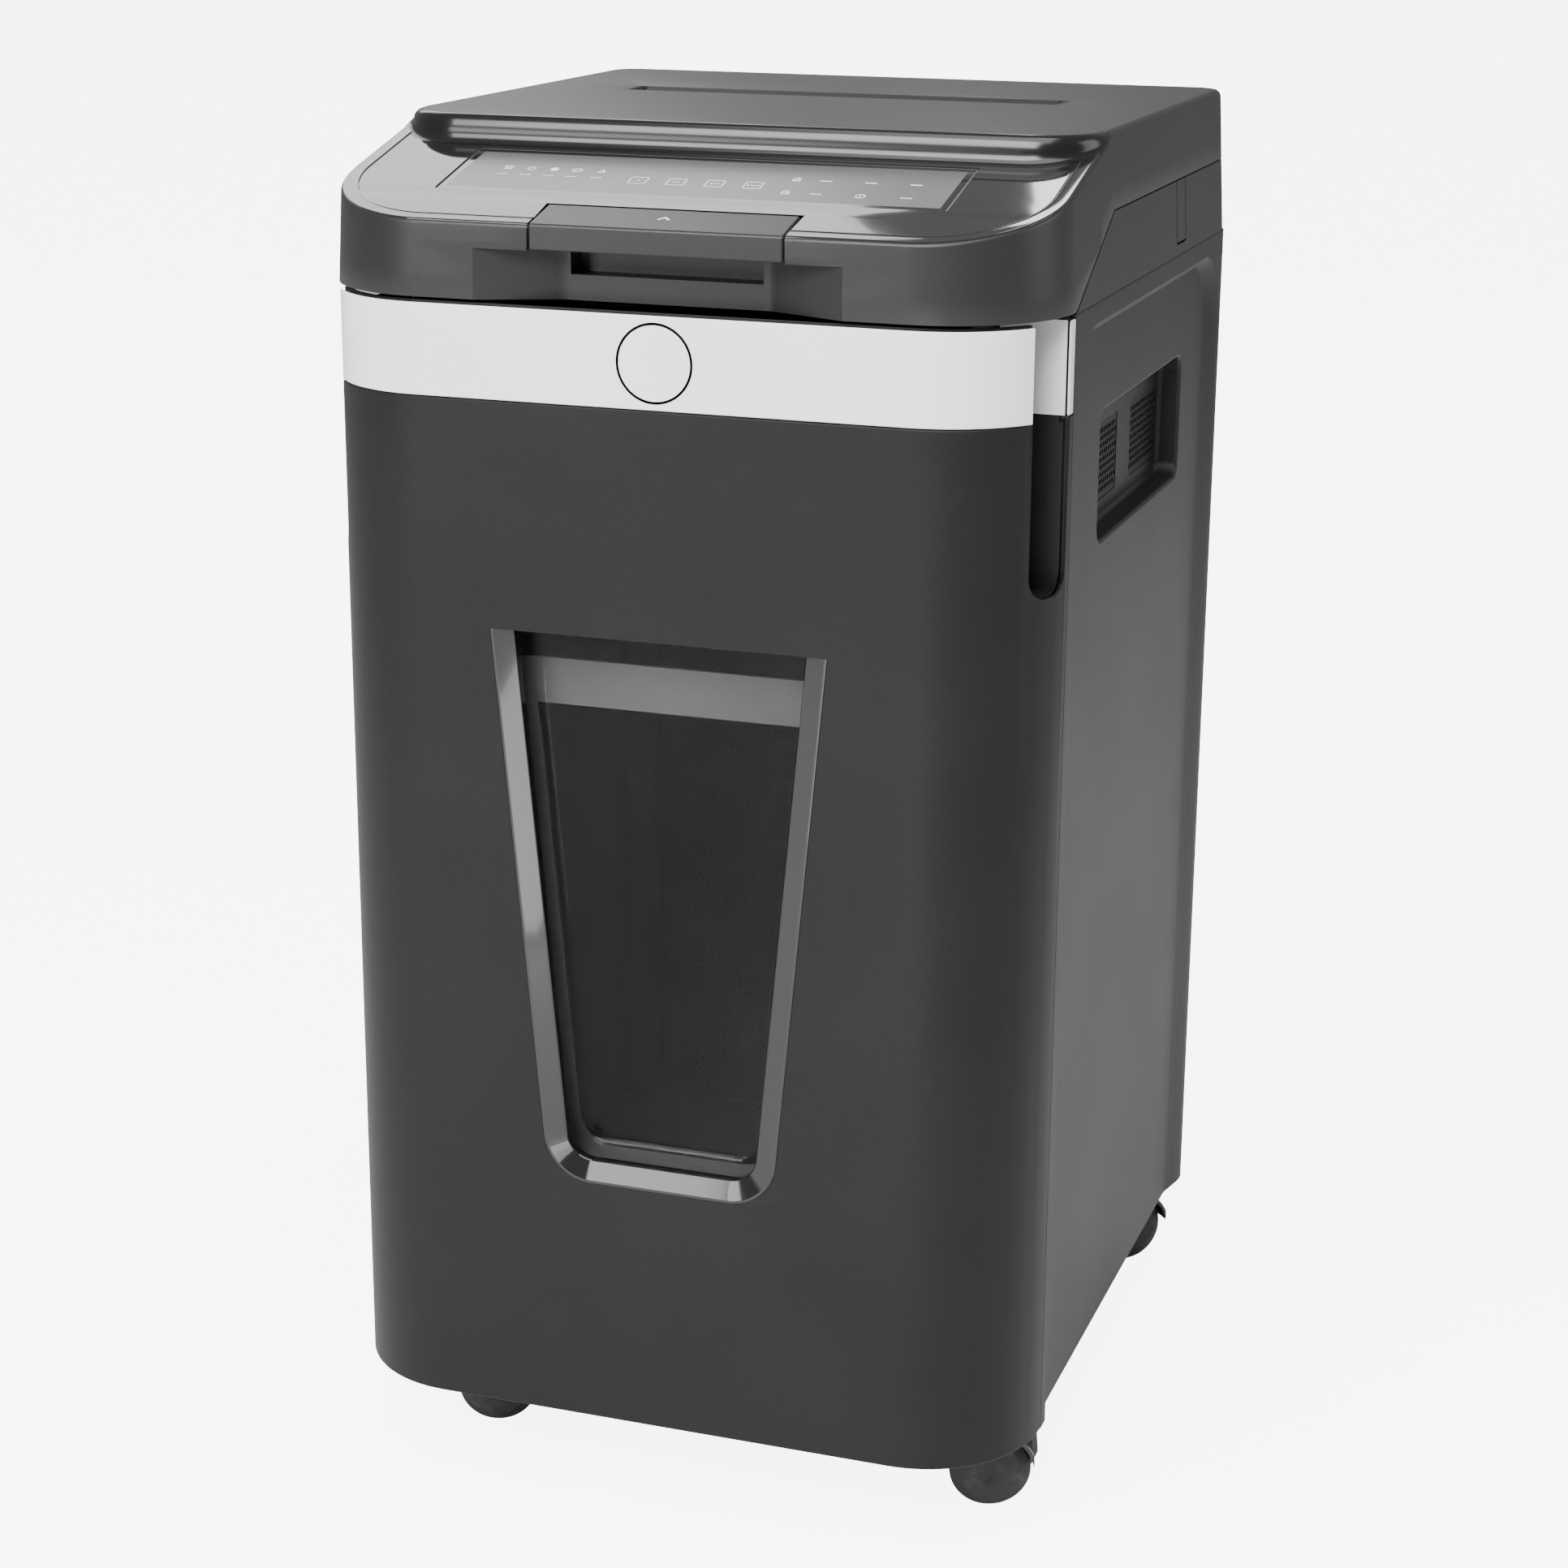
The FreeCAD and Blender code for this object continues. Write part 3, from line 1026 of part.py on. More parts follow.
def feed_gear(y, z, towards, has_tooth, bore):
    """Small gear of the roller train on the left side."""
    turn = towards if has_tooth else gap_phase(FEED_GEAR_TEETH, towards)
    return gear(FEED_GEAR_TEETH, FEED_GEAR_MODULE, GEAR_THICK, FEED_GEAR_X, (y, z), turn, bore)


def feed_line(side):
    """Direction from a cutter axis up to its feed roller; side is -1 in front and 1 behind."""
    return math.atan2(FEED_Z - CUT_Z, side * FEED_SHIFT)


def feed_idler_place(side):
    """Centre of the idler between a cutter and its feed roller."""
    y = SLOT_Y + side * (CUTTER_PITCH_GAP / 2 + FEED_SHIFT / 2)
    return y, (CUT_Z + FEED_Z) / 2


def front_gears():
    """Timing, drive and feed gears keyed to the front cutter."""
    sync = gear(SYNC_TEETH, DRIVE_MODULE, GEAR_THICK, SYNC_X, (CUT_FRONT_Y, CUT_Z), 0.0, SHAFT_R)
    drive = gear(DRIVE_TEETH, DRIVE_MODULE, GEAR_THICK, DRIVE_X, (CUT_FRONT_Y, CUT_Z), math.pi, SHAFT_R)
    return [sync, drive, feed_gear(CUT_FRONT_Y, CUT_Z, feed_line(-1), True, SHAFT_R)]


def rear_gears():
    """Timing and feed gears keyed to the rear cutter."""
    turn = gap_phase(SYNC_TEETH, math.pi)
    sync = gear(SYNC_TEETH, DRIVE_MODULE, GEAR_THICK, SYNC_X, (CUT_REAR_Y, CUT_Z), turn, SHAFT_R)
    return [sync, feed_gear(CUT_REAR_Y, CUT_Z, feed_line(1), True, SHAFT_R)]


def feed_idler(side):
    """Idler gear, gap towards the cutter and tooth opposite when its count is even."""
    y, z = feed_idler_place(side)
    return feed_gear(y, z, feed_line(side) + math.pi, False, STUD_R + RUN)


def feed_roller(side):
    """Feed shaft with rubber sleeves and its gear."""
    y = SLOT_Y + side * FEED_OFFSET
    shaft = rod(AXIS_X, (FEED_GEAR_X, y, FEED_Z), FEED_SHAFT_R, PLATE_OUT + 2 - FEED_GEAR_X)
    sleeves = []
    for x in (-75.0, -25.0, 25.0, 75.0):
        tyre = rod(AXIS_X, (x - 15, y, FEED_Z), FEED_ROLLER_R, 30)
        sleeves.append(tyre.cut(rod(AXIS_X, (x - 16, y, FEED_Z), FEED_SHAFT_R, 32)))
    towards = feed_line(side) + math.pi
    has_tooth = FEED_GEAR_TEETH % 2 == 1
    return [shaft, feed_gear(y, FEED_Z, towards, not has_tooth, FEED_SHAFT_R)] + sleeves


def idler_gear():
    """Reduction cluster: a large wheel from the motor and a small one to the cutters."""
    centre = (IDLER_Y, CUT_Z)
    small_turn = gap_phase(IDLER_SMALL_TEETH, 0.0)
    small = gear(IDLER_SMALL_TEETH, DRIVE_MODULE, GEAR_THICK, DRIVE_X, centre, small_turn, STUD_R + RUN)
    big = gear(IDLER_BIG_TEETH, MOTOR_MODULE, MOTOR_GEAR_THICK, MOTOR_GEAR_X, centre, math.pi, STUD_R + RUN)
    hub = rod(AXIS_X, (DRIVE_X, IDLER_Y, CUT_Z), 9, MOTOR_GEAR_X + MOTOR_GEAR_THICK - DRIVE_X)
    hub = hub.cut(rod(AXIS_X, (DRIVE_X - 1, IDLER_Y, CUT_Z), STUD_R + RUN, 30))
    return fused([small, hub, big])


def motor_pinion():
    """Motor shaft and its pinion."""
    turn = gap_phase(MOTOR_TEETH, 0.0)
    start = CUTTER_PLATE_X - MOTOR_LENGTH + 30
    stop = MOTOR_GEAR_X + MOTOR_GEAR_THICK
    shaft = rod(AXIS_X, (start, MOTOR_Y, CUT_Z), MOTOR_SHAFT_R, stop - start)
    pinion = gear(MOTOR_TEETH, MOTOR_MODULE, MOTOR_GEAR_THICK, MOTOR_GEAR_X, (MOTOR_Y, CUT_Z), turn, MOTOR_SHAFT_R)
    return [shaft, pinion]


def motor():
    """Motor can with end bell and front boss, bored for its shaft."""
    start = CUTTER_PLATE_X - MOTOR_LENGTH
    can = rod(AXIS_X, (start, MOTOR_Y, CUT_Z), MOTOR_R, MOTOR_LENGTH - 3)
    bell = rod(AXIS_X, (start - 12, MOTOR_Y, CUT_Z), MOTOR_R * 0.6, 12)
    boss = rod(AXIS_X, (CUTTER_PLATE_X - 3, MOTOR_Y, CUT_Z), 15, 3)
    bore = rod(AXIS_X, (start + 29.5, MOTOR_Y, CUT_Z), MOTOR_SHAFT_R + RUN, MOTOR_LENGTH)
    return fused([can, bell, boss]).cut(bore)


def motor_bracket():
    """Steel plate that carries the motor and the idler's stud, with a foot on the deck."""
    x = (CUTTER_PLATE_X, PLATE_OUT)
    front = MOTOR_Y - MOTOR_R - 6
    back = SLOT_Y - CUTTER_PLATE_Y_HALF - 0.4
    plate = slab("yz", rectangle((front, back), (BAY_Z, CUT_Z + MOTOR_R + 6), 6), x[0], x[1])
    foot = box((x[0] - 25, x[1]), (front, back), (BAY_Z, BAY_Z + 4))
    plate = fused([plate, box(x, (front, back), (BAY_Z, BAY_Z + 10)), foot])
    plate = plate.cut(rod(AXIS_X, (x[0] - 1, MOTOR_Y, CUT_Z), MOTOR_SHAFT_R + 2, CUTTER_PLATE_THICK + 2))
    stop = MOTOR_GEAR_X + MOTOR_GEAR_THICK + 1
    return plate.fuse(rod(AXIS_X, (x[1] - 1, IDLER_Y, CUT_Z), STUD_R, stop - x[1] + 1))


def cutter_side_plates():
    """End plates of the cutting block, bored for the bushes and the feed shafts."""
    half = CUTTER_PLATE_Y_HALF
    top = TRAY_TOP - TRAY_THICK - 0.5
    plate = slab("yz", rectangle((SLOT_Y - half, SLOT_Y + half), (BAY_Z, top), 5), CUTTER_PLATE_X, PLATE_OUT)
    foot = box((CUTTER_PLATE_X, PLATE_OUT), (SLOT_Y - half, SLOT_Y + half), (BAY_Z, BAY_Z + 8))
    plate = plate.fuse(foot)
    for y in (CUT_FRONT_Y, CUT_REAR_Y):
        plate = plate.cut(rod(AXIS_X, (CUTTER_PLATE_X - 1, y, CUT_Z), BUSH_R, 8))
    for y in (FEED_FRONT_Y, FEED_REAR_Y):
        plate = plate.cut(rod(AXIS_X, (CUTTER_PLATE_X - 1, y, FEED_Z), FEED_SHAFT_R + RUN, 8))
    for y, z in rod_places():
        plate = plate.cut(rod(AXIS_X, (CUTTER_PLATE_X - 1, y, z), ROD_R - 1.5, 8))
    right, left = both_sides(plate)
    for side in (-1, 1):
        y, z = feed_idler_place(side)
        left = left.fuse(rod(AXIS_X, (FEED_GEAR_X - 1, y, z), STUD_R, -PLATE_OUT + 1 - FEED_GEAR_X + 1))
    return [right, left]


def rod_places():
    """Centres of the tie rods, clear of the discs and of the paper path."""
    low = BAY_Z + 14
    high = CUT_Z + 28
    side = CUTTER_PLATE_Y_HALF - 7
    return [(SLOT_Y - side, low), (SLOT_Y + side, low), (SLOT_Y - side, high), (SLOT_Y + side, high)]


def cutter_tie_rods():
    rods = []
    for y, z in rod_places():
        bar = rod(AXIS_X, (-CUTTER_PLATE_X, y, z), ROD_R, 2 * CUTTER_PLATE_X)
        neck = rod(AXIS_X, (-PLATE_OUT, y, z), ROD_R - 1.5, 2 * PLATE_OUT)
        rods.append(fused([bar, neck]))
    return rods


def shaft_bushes():
    """Flanged bearing bushes in the end plates."""
    bushes = []
    for y in (CUT_FRONT_Y, CUT_REAR_Y):
        sleeve = rod(AXIS_X, (CUTTER_PLATE_X, y, CUT_Z), BUSH_R, CUTTER_PLATE_THICK)
        flange = rod(AXIS_X, (CUTTER_PLATE_X - 2, y, CUT_Z), BUSH_R + 2, 2)
        bore = rod(AXIS_X, (CUTTER_PLATE_X - 5, y, CUT_Z), SHAFT_R + RUN, 15)
        bushes += both_sides(fused([sleeve, flange]).cut(bore))
    return bushes


def stripper_comb(axis_y, side, first, count):
    """Comb whose teeth clear paper from the spaces between the discs of one cutter."""
    bar_y = axis_y + side * (DISC_R + 2)
    back_y = axis_y + side * (DISC_R + 7)
    tip_y = axis_y + side * (CORE_R + 1.2)
    end = CUTTER_PLATE_X
    corners = [(-end, back_y), (-end, bar_y)]
    for i in range(count - 1):
        middle = first + DISC_PITCH * (i + 0.5)
        corners += [(middle - 1.1, bar_y), (middle - 1.1, tip_y), (middle + 1.1, tip_y), (middle + 1.1, bar_y)]
    corners += [(end, bar_y), (end, back_y)]
    return slab("xy", corners, CUT_Z - 3, CUT_Z + 3)


def stripper_combs():
    count = disc_count()
    first = -DISC_PITCH * (count - 1) / 2
    front = stripper_comb(CUT_FRONT_Y, -1, first, count)
    rear = stripper_comb(CUT_REAR_Y, 1, first + DISC_PITCH / 2, count - 1)
    return [front, rear]


# ---------------------------------------------------------------- mechanism bay
def support_deck():
    """Shelf that carries the cutting block and motor, with the chute into the bin."""
    low = BAY_Z - DECK_THICK
    corners = [(-INNER, HEAD_FRONT_Y), (INNER, HEAD_FRONT_Y), (INNER, DEPTH - PANEL_THICK, 5),
               (-INNER, DEPTH - PANEL_THICK, 5)]
    plate = slab("xy", corners, low, BAY_Z)
    chute = rectangle((-CUTTER_PLATE_X + 4, CUTTER_PLATE_X - 4), (SLOT_Y - 49, SLOT_Y + 49), 4)
    wall = rectangle((-CUTTER_PLATE_X + 1.5, CUTTER_PLATE_X - 1.5), (SLOT_Y - 51.5, SLOT_Y + 51.5), 6)
    spout = slab("xy", wall, low - CHUTE_DROP, low + 1)
    return fused([plate, spout]).cut(slab("xy", chute, low - CHUTE_DROP - 1, BAY_Z + 1))




def fan_frame():
    """Square fan housing with a hub on three spokes and a foot on the deck."""
    half = FAN_SIZE / 2
    x = (FAN_X, FAN_X + FAN_THICK)
    body = slab("yz", rectangle((FAN_Y - half, FAN_Y + half), (FAN_Z - half, FAN_Z + half), 4), x[0], x[1])
    body = body.cut(rod(AXIS_X, (x[0] - 1, FAN_Y, FAN_Z), half - 2, FAN_THICK + 2))
    foot = box(x, (FAN_Y - half + 8, FAN_Y + half - 8), (BAY_Z, FAN_Z - half + 1))
    hub = rod(AXIS_X, (x[1] - 3, FAN_Y, FAN_Z), 10, 3)
    pin = rod(AXIS_X, (x[0] + 6, FAN_Y, FAN_Z), 1.5, FAN_THICK - 8)
    spokes = []
    for i in range(3):
        bar = box((x[1] - 3, x[1]), (FAN_Y - 1.5, FAN_Y + 1.5), (FAN_Z + 8, FAN_Z + half - 1))
        bar.rotate(V(0, FAN_Y, FAN_Z), AXIS_X, 60 + 120 * i)
        spokes.append(bar)
    return fused([body, foot, hub, pin] + spokes)


def fan_impeller():
    """Hub with tilted blades."""
    x = FAN_X + 4
    hub = rod(AXIS_X, (x, FAN_Y, FAN_Z), 10, 15).cut(rod(AXIS_X, (x - 1, FAN_Y, FAN_Z), 1.5 + RUN, 20))
    blades = []
    for i in range(FAN_BLADES):
        blade = box((x + 1, x + 13), (FAN_Y - 0.8, FAN_Y + 0.8), (FAN_Z + 9, FAN_Z + FAN_SIZE / 2 - 3.5))
        blade.rotate(V(x + 7, FAN_Y, FAN_Z), AXIS_Z, 35)
        blade.rotate(V(0, FAN_Y, FAN_Z), AXIS_X, 360.0 * i / FAN_BLADES)
        blades.append(blade)
    return fused([hub] + blades)


def control_board():
    """Circuit board on posts in front of the rear panel, with its larger components."""
    back = REAR_FACE - REAR_THICK
    board = (back - 14, back - 12.4)
    x = (-150.0, -20.0)
    z = (BAY_Z + 12, BAY_Z + 112)
    pieces = [box(x, board, z)]
    for px in (x[0] + 6, x[1] - 6):
        for pz in (z[0] + 6, z[1] - 6):
            pieces.append(rod(AXIS_Y, (px, board[1], pz), 3, back - board[1]))
    front = board[0]
    pieces.append(box((x[0] + 12, x[0] + 44), (front - 22, front), (z[0] + 14, z[0] + 46)))
    pieces.append(box((x[0] + 56, x[0] + 84), (front - 16, front), (z[0] + 12, z[0] + 34)))
    pieces.append(box((x[0] + 92, x[0] + 120), (front - 4, front), (z[0] + 50, z[0] + 78)))
    for i in range(3):
        pieces.append(rod(AXIS_Y, (x[0] + 22 + 22 * i, front - 24, z[0] + 72), 7, 24))
    return fused(pieces)


def power_inlet():
    """Appliance inlet with three pins, and the rocker switch's frame, in one moulding."""
    back = REAR_FACE
    body = box((INLET_X - 13.8, INLET_X + 13.8), (back - 24, back), (INLET_Z - 10.8, INLET_Z + 10.8))
    cavity = slab("xz", [(INLET_X - 12, INLET_Z - 8, 1), (INLET_X + 12, INLET_Z - 8, 1),
                         (INLET_X + 12, INLET_Z + 3, 0.5), (INLET_X + 7, INLET_Z + 8, 0.5),
                         (INLET_X - 7, INLET_Z + 8, 0.5), (INLET_X - 12, INLET_Z + 3, 0.5)], back - 17, back + 2)
    rim = box((INLET_X - 17, INLET_X + 17), (back, back + 1.3), (INLET_Z - 14, INLET_Z + 14))
    pieces = [fused([body, rim]).cut(cavity)]
    for dx, dz in ((-7, -3), (7, -3), (0, 2)):
        pieces.append(box((INLET_X + dx - 1, INLET_X + dx + 1), (back - 18, back - 3),
                          (INLET_Z + dz - 2, INLET_Z + dz + 2)))
    frame = box((INLET_X - 10.8, INLET_X + 10.8), (back - 20, back), (ROCKER_Z - 13.8, ROCKER_Z + 13.8))
    lip = box((INLET_X - 12.5, INLET_X + 12.5), (back, back + 1.3), (ROCKER_Z - 15.5, ROCKER_Z + 15.5))
    well = box((INLET_X - 9, INLET_X + 9), (back - 10, back + 2), (ROCKER_Z - 12, ROCKER_Z + 12))
    pivot = rod(AXIS_X, (INLET_X - 10, ROCKER_Y, ROCKER_Z), 1.5, 20)
    pieces.append(fused([fused([frame, lip]).cut(well), pivot]))
    return [fused(pieces[:4]), pieces[4]]


def power_rocker():
    """Rocker paddle, resting tilted to its off side."""
    back = REAR_FACE
    corners = [(back - 7, ROCKER_Z - 3, 1), (back - 1.6, ROCKER_Z - 11, 0.8), (back - 0.2, ROCKER_Z - 10.6, 0.5),
               (back - 1.3, ROCKER_Z), (back - 0.2, ROCKER_Z + 10.6, 0.5), (back - 1.6, ROCKER_Z + 11, 0.8),
               (back - 7, ROCKER_Z + 3, 1)]
    paddle = slab("yz", corners, INLET_X - 8.7, INLET_X + 8.7)
    paddle = paddle.cut(rod(AXIS_X, (INLET_X - 10, ROCKER_Y, ROCKER_Z), 1.5 + RUN, 20))
    paddle.rotate(V(INLET_X, ROCKER_Y, ROCKER_Z), AXIS_X, ROCKER_TILT)
    return paddle


# ---------------------------------------------------------------- casters
def caster_places():
    """Swivel axis (x, y) and trailing direction in degrees, for each caster by name."""
    rear = DEPTH - CASTER_REAR
    side = CASTER_X + HALF - 200.0
    return {
        "front_left": (-side, CASTER_FRONT_Y, CASTER_FRONT_ANGLE),
        "front_right": (side, CASTER_FRONT_Y, CASTER_FRONT_ANGLE),
        "rear_left": (-side, rear, CASTER_REAR_ANGLE),
        "rear_right": (side, rear, CASTER_REAR_ANGLE),
    }


def caster_plate():
    """Mounting plate with the swivel pin, about its own axis."""
    top = CAB_LOW + BASE_RISE
    plate = slab("xy", rectangle((-22, 22), (-22, 22), 5), top - 3, top)
    cone = rod(AXIS_Z, (0, 0, top - 5), 12, 3)
    pin = rod(AXIS_Z, (0, 0, AXLE_Z + 16.5), SWIVEL_R, top - AXLE_Z - 17)
    return fused([plate, cone, pin])


def caster_hood():
    """Fork and cover over twin wheels, pointing along +X, with the swivel bore at the origin."""
    half = WHEEL_SPACE / 2 + WHEEL_THICK
    cover_r = WHEEL_R + HOOD_GAP + HOOD_WALL
    centre = (CASTER_TRAIL, -half, AXLE_Z)
    cover = rod(AXIS_Y, centre, cover_r, 2 * half)
    keep = box((-30, CASTER_TRAIL + cover_r * 0.93), (-half, half), (AXLE_Z + 4, CAB_LOW - 1.2))
    cover = cover.common(keep)
    boss = rod(AXIS_Z, (0, 0, AXLE_Z + 12), 11, CAB_LOW + BASE_RISE - 5.3 - AXLE_Z - 12)
    body = fused([cover, boss])
    inner_r = WHEEL_R + HOOD_GAP
    web = WHEEL_SPACE / 2 - 0.6
    for low in (-half - 1, web):
        body = body.cut(rod(AXIS_Y, (CASTER_TRAIL, low, AXLE_Z), inner_r, half + 1 - web))
    middle = box((3, CASTER_TRAIL + 16), (-web, web), (AXLE_Z, AXLE_Z + 20))
    middle = middle.common(rod(AXIS_Y, centre, cover_r - 0.5, 2 * half))
    hub = rod(AXIS_Y, (CASTER_TRAIL, -web, AXLE_Z), 9, 2 * web)
    body = fused([body, middle, hub])
    body = body.cut(rod(AXIS_Z, (0, 0, AXLE_Z + 16), SWIVEL_R + RUN, 60))
    body = body.cut(rod(AXIS_Y, (CASTER_TRAIL, -half, AXLE_Z), AXLE_R + RUN, 2 * half))
    slot = box((CASTER_TRAIL + 16.5, CASTER_TRAIL + 40), (-web - 1, web + 1), (AXLE_Z + 2, CAB_LOW))
    ears = caster_pedal_pin()
    return fused([body.cut(slot), ears])


def caster_pedal_pin():
    """Cross pin of the brake pedal, between the two halves of the hood."""
    half = WHEEL_SPACE / 2 + 3
    return rod(AXIS_Y, (PEDAL_X, -half, PEDAL_Z), 1.5, 2 * half)


def caster_pedal():
    """Curved brake pedal behind the hood, on its cross pin."""
    half = WHEEL_SPACE / 2 - 0.8
    tail = PEDAL_X + 5.5
    corners = [(PEDAL_X - 2.8, PEDAL_Z + 2.8, 2), (PEDAL_X + 2.5, PEDAL_Z + 7, 3), (tail, PEDAL_Z + 5, 2),
               (tail + 1, PEDAL_Z - 8, 3), (tail - 3, PEDAL_Z - 17, 1.5), (tail - 5.5, PEDAL_Z - 16, 1),
               (tail - 2.5, PEDAL_Z - 7, 3), (PEDAL_X - 2.8, PEDAL_Z - 2.8, 2)]
    arm = slab("xz", corners, -half, half)
    return arm.cut(rod(AXIS_Y, (PEDAL_X, -half - 1, PEDAL_Z), 1.5 + RUN, 2 * half + 2))


def caster_wheels():
    """Two wheels with rounded outer edges on one axle."""
    inner = WHEEL_SPACE / 2
    outer = inner + WHEEL_THICK
    profile = [(inner, AXLE_R), (outer - 3, AXLE_R), (outer - 1, AXLE_R + 5), (outer - 2.5, WHEEL_R * 0.72),
               (outer - 5.5, WHEEL_R - 1.2), (outer - 7.5, WHEEL_R), (inner, WHEEL_R)]
    wires = [V(0, y, r) for y, r in profile]
    face = Part.Face(Part.makePolygon(wires + [wires[0]]))
    wheel = face.revolve(V(0, 0, 0), AXIS_Y, 360)
    axle = rod(AXIS_Y, (0, -outer + 3, 0), AXLE_R, 2 * outer - 6)
    pieces = [wheel, wheel.mirror(V(0, 0, 0), AXIS_Y), axle]
    for piece in pieces:
        piece.translate(V(CASTER_TRAIL, 0, AXLE_Z))
    return pieces


def stationed(pieces, x, y, angle):
    """Copies of the pieces turned about the swivel axis and put at a caster's place."""
    moved = []
    for piece in pieces:
        copy = piece.copy()
        copy.rotate(V(0, 0, 0), AXIS_Z, angle)
        copy.translate(V(x, y, 0))
        moved.append(copy)
    return moved


# ---------------------------------------------------------------- assembly
def touch_panel():
    """Glass strip that lies in the deck's recess."""
    return touch_region(PIECE_GAP)


def assembly():
    """All pieces by node name."""
    right, left = both_sides(side_panel())
    nodes = {
        "base_tray": base_tray(),
        "side_panel_right": right,
        "side_panel_left": left,
        "rear_panel": rear_panel(),
        "side_grilles": side_grilles(),
        "case_screws": case_screws(),
        "drawer_rails": drawer_rails(),
        "head_housing": head_housing(),
        "feed_tray": feed_tray(),
        "hinge_brackets": hinge_brackets(),
        "support_deck": support_deck(),
        "cutter_side_plates": cutter_side_plates(),
        "cutter_tie_rods": cutter_tie_rods(),
        "shaft_bushes": shaft_bushes(),
        "stripper_combs": stripper_combs(),
        "motor": motor(),
        "motor_bracket": motor_bracket(),
        "fan_frame": fan_frame(),
        "control_board": control_board(),
        "power_inlet": power_inlet(),
        "power_rocker": power_rocker(),
        "lid_shell": lid_shell(),
        "gloss_panel": gloss_panel(),
        "touch_panel": touch_panel(),
        "slot_liner": slot_liner(),
        "grip_scoop": grip_scoop(),
        "lift_lever": lift_lever(),
        "latch_hooks": latch_hooks(),
        "pressure_plate": pressure_plate(),
        "plate_springs": plate_springs(),
        "bin_front": bin_front(),
        "front_band": front_band(),
        "badge": badge(),
        "window_bezel": window_bezel(),
        "window_pane": window_pane(),
        "bin_tub": bin_tub(),
        "cutter_front": cutter_front(),
        "cutter_rear": cutter_rear(),
        "front_gears": front_gears(),
        "rear_gears": rear_gears(),
        "feed_idler_front": feed_idler(-1),
        "feed_idler_rear": feed_idler(1),
        "feed_roller_front": feed_roller(-1),
        "feed_roller_rear": feed_roller(1),
        "idler_gear": idler_gear(),
        "motor_pinion": motor_pinion(),
        "fan_impeller": fan_impeller(),
    }
    plates = []
    for name, (x, y, angle) in caster_places().items():
        plates += stationed([caster_plate()], x, y, 0)
        nodes["caster_hood_" + name] = stationed([caster_hood()], x, y, angle)
        nodes["caster_wheels_" + name] = stationed(caster_wheels(), x, y, angle)
        nodes["caster_pedal_" + name] = stationed([caster_pedal()], x, y, angle)
    nodes["caster_plates"] = plates
    return nodes


def save(nodes):
    """Write one STEP file per node, with the origin at the footprint's centre."""
    os.makedirs("parts", exist_ok=True)
    for name, pieces in nodes.items():
        shapes = pieces if isinstance(pieces, list) else [pieces]
        solids = []
        for shape in shapes:
            solids += shape.Solids
        body = solids[0] if len(solids) == 1 else Part.makeCompound(solids)
        body = body.copy()
        body.translate(V(0, -DEPTH / 2, 0))
        body.exportStep("parts/" + name + ".step")
        print(name, len(solids), "valid" if body.isValid() else "INVALID", round(body.Volume))


save(assembly())
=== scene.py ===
"""Auto-feed paper shredder: the finished look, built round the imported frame.

Lengths are millimetres until a mesh is made. X runs to the right, Y runs back from the drawer's face
and Z up from the floor, as in the part's own drawing.
"""
from __future__ import annotations

import logging
import math
from collections.abc import Callable, Sequence
from dataclasses import dataclass, field
from enum import Enum

import bmesh
import bpy
import numpy as np
from mathutils import Matrix, Vector
from mathutils.geometry import tessellate_polygon


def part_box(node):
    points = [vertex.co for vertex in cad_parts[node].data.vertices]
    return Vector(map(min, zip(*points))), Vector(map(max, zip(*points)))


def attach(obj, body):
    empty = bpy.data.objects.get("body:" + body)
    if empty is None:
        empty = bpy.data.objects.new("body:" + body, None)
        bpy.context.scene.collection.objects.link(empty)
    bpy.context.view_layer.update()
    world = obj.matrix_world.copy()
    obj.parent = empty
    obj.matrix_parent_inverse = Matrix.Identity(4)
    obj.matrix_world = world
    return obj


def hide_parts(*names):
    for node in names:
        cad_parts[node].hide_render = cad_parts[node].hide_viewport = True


LOG = logging.getLogger("shredder")
MM = 0.001
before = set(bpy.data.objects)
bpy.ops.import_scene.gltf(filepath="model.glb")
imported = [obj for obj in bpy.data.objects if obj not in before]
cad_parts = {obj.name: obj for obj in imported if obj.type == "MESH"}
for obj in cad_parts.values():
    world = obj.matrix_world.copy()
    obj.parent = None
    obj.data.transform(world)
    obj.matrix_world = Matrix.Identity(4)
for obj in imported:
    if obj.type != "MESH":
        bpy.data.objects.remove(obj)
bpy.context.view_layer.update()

Colour = tuple[float, float, float]
Loop = np.ndarray


# ---------------------------------------------------------------- the frame's sizes
@dataclass(frozen=True)
class Extent:
    """Box of one CAD node in millimetres, with y counted from the drawer's face."""

    low: np.ndarray
    high: np.ndarray

    @property
    def middle(self) -> np.ndarray:
        """Centre of the box."""
        return (self.low + self.high) / 2


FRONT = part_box("bin_front")[0].y / MM


def extent(node: str) -> Extent:
    """Reads a node's box from the frame.

    Args:
        node: Name of the CAD node.

    Returns:
        Its extent in millimetres from the drawer's face.
    """
    low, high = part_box(node)
    shift = np.array([0.0, FRONT, 0.0])
    return Extent(np.array(low) / MM - shift, np.array(high) / MM - shift)


